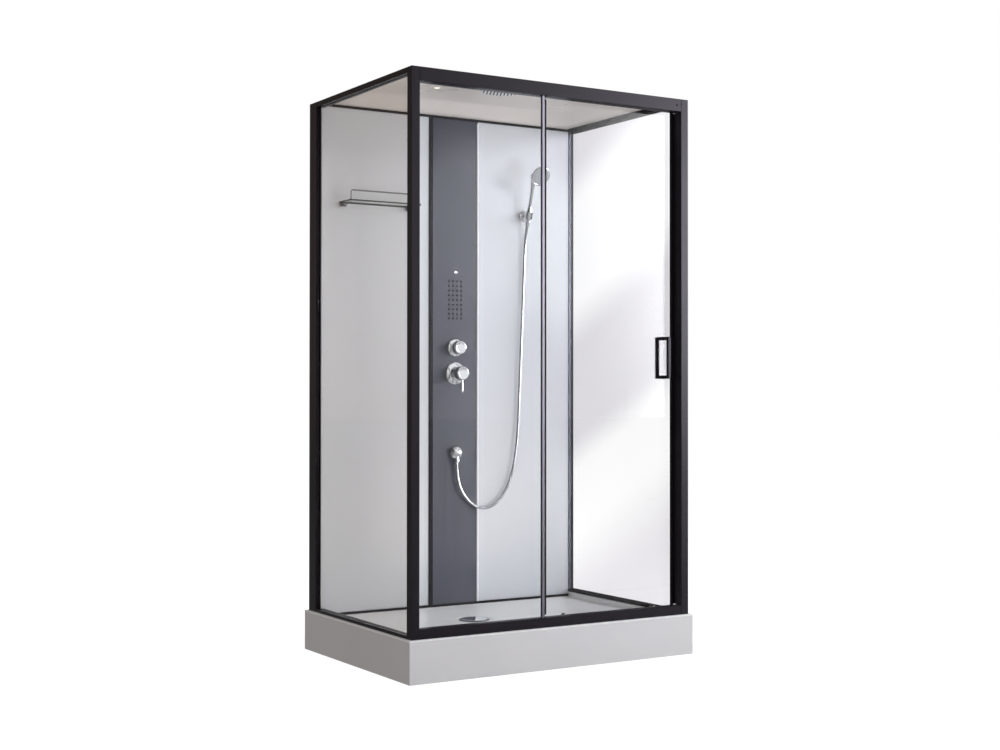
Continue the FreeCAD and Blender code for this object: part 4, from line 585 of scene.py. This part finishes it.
# Rollers: turned nylon wheels with a groove for the track's lip, on carriers that are clamped through the glass.
# The carriers are smooth black caps with an axle at the back.
nylon = finish("nylon_turned", ("#E2E1DC", "#D6D5D0"), 6, (0.35, 0.45), 0.9, 0.01, {"IOR": 1.53})
inward = -forward
track_y, door_front = -370.8, -362.0
half_wide, half_groove, axle_bore = 4.0, 1.9, 3.05
wheel_places = (("left", 64.0), ("right", 462.0))
wheel_sizes = {"top": (2052.3, 11.5, 9.0), "bottom": (175.3, 9.0, 7.0)}
cap_line = eased([(0, 11.6), (5, 12), (9, 12), (11, 10), (11, 5), (5, 5), (5, 0), (7.5, 0), (7.5, -4.5), (3, -4.5),
                  (3, -13.1), (5, -13.1), (5, -15.1), (0, -15.1)], 0.5, 4)
cap_grids = []
for level, (wheel_z, wheel_radius, root) in wheel_sizes.items():
    for hand, wheel_x in wheel_places:
        wheel_line = eased([(axle_bore, 0), (axle_bore, -half_wide), (wheel_radius, -half_wide),
                            (wheel_radius, -half_groove), (root, -half_groove), (root, half_groove),
                            (wheel_radius, half_groove), (wheel_radius, half_wide), (axle_bore, half_wide),
                            (axle_bore, 0)], 0.4, 4)
        name = "roller_" + level + "_" + hand
        piece("wheel_" + level + "_" + hand, nylon, name,
              [turned(wheel_line, (wheel_x, track_y, wheel_z), inward, 48)], [name])
        cap_grids.append(turned(cap_line, (wheel_x, door_front, wheel_z), inward, 40))
piece("carrier_caps", black_plastic, "door", cap_grids, ["roller_carriers"])

# Roof: one white ABS sheet, vacuum-formed into a shallow dome with a flat flange that lies on the rails' ledges.
# The sheet is 4 mm thick and its bends are soft: the slope rises by 3 t^2 - 2 t^3 from the flange to the crest.
roof_white = finish("abs_vacuum_formed", ("#F3EDE6", "#EDE6DE"), 240, (0.24, 0.34), 6, 0.012, {"IOR": 1.53})


def outline(half_x, half_y, middle_y, corner):
    """A rectangle with round corners about (0, middle_y), anticlockwise: 16 steps to a corner and to a side."""
    quarter = np.arange(4)[:, None] * np.pi / 2
    a = quarter + np.linspace(0, np.pi / 2, 17)[None]
    turn_x = np.array([1, -1, -1, 1])[:, None] * (half_x - corner)
    turn_y = np.array([1, 1, -1, -1])[:, None] * (half_y - corner)
    arcs = np.stack([turn_x + corner * np.cos(a), turn_y + corner * np.sin(a)], -1)
    after = np.roll(arcs[:, 0], -1, axis=0)
    t = np.linspace(0, 1, 18)[None, 1:-1, None]
    sides = arcs[:, -1:] * (1 - t) + after[:, None] * t
    ring = np.concatenate([arcs, sides], 1).reshape(-1, 2)
    return np.concatenate([ring, ring[:1]]) + np.array([0, middle_y])


roof_seat, dome_rise, sheet_thick = 2076.0, 48.0, 4.0
crest_middle = 30.5
edge_line = outline(555, 380, 0, 4)
foot_line = outline(517, 337, 0, 100)
crest_line = outline(430, 219.5, crest_middle, 59)
slope_t = np.linspace(0, 1, 26)[:, None, None]
slope = foot_line * (1 - slope_t) + crest_line * slope_t
slope_rise = dome_rise * slope_t[..., 0] ** 2 * (3 - 2 * slope_t[..., 0])
crest_t = np.linspace(0, 1, 9)[1:, None, None]
crest = crest_line * (1 - crest_t) + np.array([0, crest_middle]) * crest_t
flat_t = np.linspace(0, 1, 5)[:-1, None, None]
flange = edge_line * (1 - flat_t) + foot_line * flat_t
roof_plan = np.concatenate([flange, slope, crest])
roof_rise = np.concatenate([np.zeros((len(flange), 1)), slope_rise, np.full((len(crest), 1), dome_rise)])
roof_level = np.broadcast_to(roof_seat + roof_rise[..., None], roof_plan.shape[:2] + (1,))
roof_grid = np.concatenate([roof_plan, roof_level], -1)
roof = piece("roof_dome", roof_white, "cabin", [roof_grid], ["roof_shell"])
thick = roof.modifiers.new("sheet", "SOLIDIFY")
thick.thickness = sheet_thick * metre
thick.offset = 1.0

# Rain shower: a flat chromed disc on a short neck under the roof, with a pale satin face and staggered nozzles.
# The nozzles are dark grey rubber, and line up into dark strokes when seen from a low angle.
rain_at = np.array([-30.0, -80.0, 2104.0])
rain_profile = eased([(0, 0), (78, 0), (80, 1.5), (80, 5), (69, 11), (16, 11), (16, 20), (7, 20), (7, 30), (0, 30)],
                     np.array([1, 0.8, 1.5, 3, 1, 0.6, 0.6, 0.4]))
piece("rain_disc", chrome, "cabin", [turned(rain_profile, rain_at, up, 96)], ["overhead_shower"])
rain_plate = eased([(0, -0.8), (78, -0.8), (79, 0.2), (0, 0.2)], 0.4)
rain_white = finish("abs_satin_white", ("#F4F4F4", "#EDEDED"), 30, (0.3, 0.4), 1.5, 0.01, {"IOR": 1.53})
piece("rain_face", rain_white, "cabin", [turned(rain_plate, rain_at, up, 96)])
rain_nib = eased([(0, -2.2), (0.7, -2.3), (1.2, -3.4), (2.2, -3.2), (3.0, -0.6), (3.0, 0.5), (0, 0.5)], 0.4, 3)
rain_column, rain_row = np.meshgrid(np.arange(-5, 6), np.arange(-4, 5))
rain_step_x, rain_step_y, rain_reach = 15.0, 14.7, 70.0
rain_x = rain_step_x * (rain_column + 0.5 * (rain_row % 2))
rain_y = rain_step_y * rain_row
inside = np.hypot(rain_x, rain_y) < rain_reach
rain_places = rain_at + np.stack([rain_x[inside], rain_y[inside], 0 * rain_x[inside]], 1)
grey_rubber = finish("silicone_rubber_grey", ("#2E2F34", "#26272B"), 10, (0.45, 0.55), 1.0, 0.01, {"IOR": 1.43})
piece("rain_nozzles", grey_rubber, "cabin", [turned(rain_nib, place, up, 8) for place in rain_places])

# Lamp: a small round fitting with an opal lens, clipped into the dome.
# The lens glows softly warm.
opal = finish("opal_lens", ("#F6F1E2", "#EFE8D6"), 20, (0.3, 0.4), 3, 0.01,
              {"IOR": 1.49, "Emission Color": linear("#FFF8EC"), "Emission Strength": 1.0})
lamp_at = (-235, 49, 2118)
bezel_profile = eased([(0, 0.2), (12, 0.2), (13, 0.3), (14, 1.4), (18, 3), (18, 6), (0, 6)], 0.8)
piece("lamp_bezel", roof_white, "cabin", [turned(bezel_profile, lamp_at, up)], ["ceiling_light"])
lens_profile = eased([(0, -0.8), (7, -0.5), (11, 0), (11, 0.6), (0, 0.6)], 0.4)
piece("lamp_lens", opal, "cabin", [turned(lens_profile, lamp_at, up)])

# Studio: a white floor that keeps the cabin's shadow, a white surround, and soft lamps that no gloss shows.
# Both are white to the eye. In gloss and as light they are brighter to the front right than to the left, with a tall
# softbox to the right and a faint glow behind.
floor_paint = bpy.data.materials.new("studio_floor")
floor_paint.use_nodes = True
floor_tree = floor_paint.node_tree
floor_tree.nodes.remove(floor_tree.nodes["Principled BSDF"])
matt = add(floor_tree, "ShaderNodeBsdfDiffuse", {"Color": linear("#767474")})
floor_seen, floor_gloss, floor_dim, floor_fill = 0.98, 0.5, 0.12, 0.38
floor_bright, dim_until, bright_from = (0.7, -0.7, 0.0), -1.0, 2.0
floor_path = add(floor_tree, "ShaderNodeLightPath", {})
floor_place = add(floor_tree, "ShaderNodeTexCoord", {}).outputs["Object"]
floor_side = add(floor_tree, "ShaderNodeVectorMath", {"operation": "DOT_PRODUCT", 1: floor_bright},
                 {0: floor_place})
floor_mirrored = add(floor_tree, "ShaderNodeMapRange",
                     {"From Min": dim_until, "From Max": bright_from, "To Min": floor_dim - floor_fill,
                      "To Max": floor_gloss - floor_fill}, {"Value": floor_side.outputs["Value"]})
floor_shine = add(floor_tree, "ShaderNodeMath", {"operation": "MULTIPLY_ADD", 2: floor_fill},
                  {0: floor_path.outputs["Is Glossy Ray"], 1: floor_mirrored.outputs["Result"]})
floor_white = add(floor_tree, "ShaderNodeMath", {"operation": "MULTIPLY_ADD", 1: floor_seen - floor_fill},
                  {0: floor_path.outputs["Is Camera Ray"], 2: floor_shine.outputs["Value"]})
glow = add(floor_tree, "ShaderNodeEmission", {}, {"Strength": floor_white.outputs["Value"]})
both = add(floor_tree, "ShaderNodeAddShader", {}, {0: matt.outputs["BSDF"], 1: glow.outputs["Emission"]})
floor_tree.links.new(both.outputs["Shader"], floor_tree.nodes["Material Output"].inputs["Surface"])
floor_mesh = bpy.data.meshes.new("floor")
floor_half = 40.0
floor_mesh.from_pydata([(-floor_half, -floor_half, 0), (floor_half, -floor_half, 0), (floor_half, floor_half, 0),
                        (-floor_half, floor_half, 0)], [], [(0, 1, 2, 3)])
floor_mesh.materials.append(floor_paint)
floor = bpy.data.objects.new("floor", floor_mesh)
bpy.context.scene.collection.objects.link(floor)

world = bpy.data.worlds.new("studio")
world.use_nodes = True
sky_tree = world.node_tree
bright_side = unit((0.62, -0.62, 0.48)).tolist()
fill_dim, fill_bright = 0.12, 0.30
gloss_dim, gloss_bright, gloss_behind = 0.10, 1.1, 0.25
softbox_glow, box_slant = 28.0, (2.5, 0.0, 1.0)
outward = add(sky_tree, "ShaderNodeTexCoord", {}).outputs["Generated"]
toward = add(sky_tree, "ShaderNodeVectorMath", {"operation": "DOT_PRODUCT", 1: bright_side}, {0: outward})
side = add(sky_tree, "ShaderNodeMapRange",
           {"interpolation_type": "SMOOTHSTEP", "From Min": -0.7, "From Max": 0.7},
           {"Value": toward.outputs["Value"]})
box_light = add(sky_tree, "ShaderNodeValue", {}).outputs[0]
box_light.default_value = softbox_glow
heading = add(sky_tree, "ShaderNodeSeparateXYZ", {}, {0: outward})
slanted = add(sky_tree, "ShaderNodeVectorMath", {"operation": "DOT_PRODUCT", 1: box_slant}, {0: outward})
box_edges = ((heading.outputs["X"], 0.53, 0.68), (heading.outputs["Y"], -0.1, -0.4),
             (slanted.outputs["Value"], 1.4, 1.65), (heading.outputs["Z"], 0.24, 0.15))
for across_box, none_at, full_at in box_edges:
    edge = add(sky_tree, "ShaderNodeMapRange",
               {"interpolation_type": "SMOOTHSTEP", "From Min": none_at, "From Max": full_at}, {"Value": across_box})
    box_light = add(sky_tree, "ShaderNodeMath", {"operation": "MULTIPLY"},
                    {0: box_light, 1: edge.outputs["Result"]}).outputs["Value"]
fill = add(sky_tree, "ShaderNodeMapRange", {"To Min": fill_dim, "To Max": fill_bright},
           {"Value": side.outputs["Result"]})
shine = add(sky_tree, "ShaderNodeMapRange",
            {"interpolation_type": "SMOOTHSTEP", "From Min": 0.3, "From Max": 0.7, "To Min": gloss_dim,
             "To Max": gloss_bright}, {"Value": toward.outputs["Value"]})
behind = add(sky_tree, "ShaderNodeMapRange",
             {"interpolation_type": "SMOOTHSTEP", "From Min": -0.5, "From Max": -0.8, "To Min": 0.0,
              "To Max": gloss_behind}, {"Value": toward.outputs["Value"]})
shown = add(sky_tree, "ShaderNodeMath", {"operation": "ADD"},
            {0: shine.outputs["Result"], 1: behind.outputs["Result"]})
mirrored = add(sky_tree, "ShaderNodeMath", {"operation": "ADD"}, {0: shown.outputs["Value"], 1: box_light})
sky_path = add(sky_tree, "ShaderNodeLightPath", {})
unseen = add(sky_tree, "ShaderNodeMix", {}, {0: sky_path.outputs["Is Glossy Ray"], 2: fill.outputs["Result"],
                                             3: mirrored.outputs["Value"]})
strength = add(sky_tree, "ShaderNodeMix", {3: 1.0}, {0: sky_path.outputs["Is Camera Ray"], 2: unseen.outputs[0]})
plain = add(sky_tree, "ShaderNodeMath", {"operation": "MAXIMUM"},
            {0: sky_path.outputs["Is Camera Ray"], 1: side.outputs["Result"]})
warmth = add(sky_tree, "ShaderNodeMix", {"data_type": "RGBA", 6: linear("#FFE8DC"), 7: linear("#FFFFFF")},
             {0: plain.outputs["Value"]})
sky_tree.links.new(warmth.outputs[2], sky_tree.nodes["Background"].inputs["Color"])
sky_tree.links.new(strength.outputs[0], sky_tree.nodes["Background"].inputs["Strength"])
bpy.context.scene.world = world

lamp_up = (0, 0.01, 1)
lamps = (("key", (3.0, -4.6, 2.2), (0.0, 0.2, 1.4), 3.0, 50.0, (0.89, 0.93, 1.0)),
         ("front_fill", (1.8, -4.8, 0.3), (1.43, -4.24, 2.18), 2.4, 178.0, (0.92, 0.95, 1.0)),
         ("top_light", (-0.7, -0.55, 11.0), (-0.7, -0.55, 0.15), 4.5, 420.0, (1.0, 0.99, 0.98)),
         ("side_light", (4.2, -0.6, 3.0), (0.0, 0.0, 0.15), 2.0, 150.0, (0.93, 0.96, 1.0)),
         ("back_fill", (-1.5, 5.5, 2.2), (0.0, 0.4, 1.1), 2.0, 45.0, (1.0, 1.0, 1.0)),
         ("floor_bounce", (0.0, -0.15, 0.3), (0.0, 0.1, 2.1), 0.6, 1.0, (1.0, 0.88, 0.80)))
for lamp_name, lamp_place, target, size, watts, tone in lamps:
    light = bpy.data.lights.new(lamp_name, "AREA")
    light.shape = "DISK"
    light.size = size
    light.energy = watts
    light.color = tone
    lamp = bpy.data.objects.new(lamp_name, light)
    lamp.location = lamp_place
    lamp.visible_glossy = False
    lamp.visible_camera = False
    aim = Matrix.Identity(3)
    back = unit(np.subtract(lamp_place, target))
    right = unit(np.cross(lamp_up, back))
    aim.col[0], aim.col[1], aim.col[2] = right.tolist(), np.cross(back, right).tolist(), back.tolist()
    lamp.rotation_euler = aim.to_euler()
    bpy.context.scene.collection.objects.link(lamp)

# Camera: a standing eye to the front left, level, as a catalogue picture is taken.
# Its place, turn and lens were solved from the corners of tray and frame.
camera_place = (-2.9860, -4.9107, 0.9904)
camera_yaw, camera_rise, camera_roll = 0.54817, 0.00963, -0.00061
sensor = 36.0
focal_share = 1.51813
lens = bpy.data.cameras.new("camera")
lens.sensor_width = sensor
lens.lens = sensor * focal_share
camera = bpy.data.objects.new("camera", lens)
camera.location = camera_place
camera.rotation_euler = (Matrix.Rotation(-camera_yaw, 3, "Z") @ Matrix.Rotation(math.pi / 2 + camera_rise, 3, "X")
                         @ Matrix.Rotation(-camera_roll, 3, "Z")).to_euler()
bpy.context.scene.collection.objects.link(camera)
bpy.context.scene.camera = camera
bpy.context.scene.view_settings.view_transform = "Standard"

bpy.context.view_layer.update()
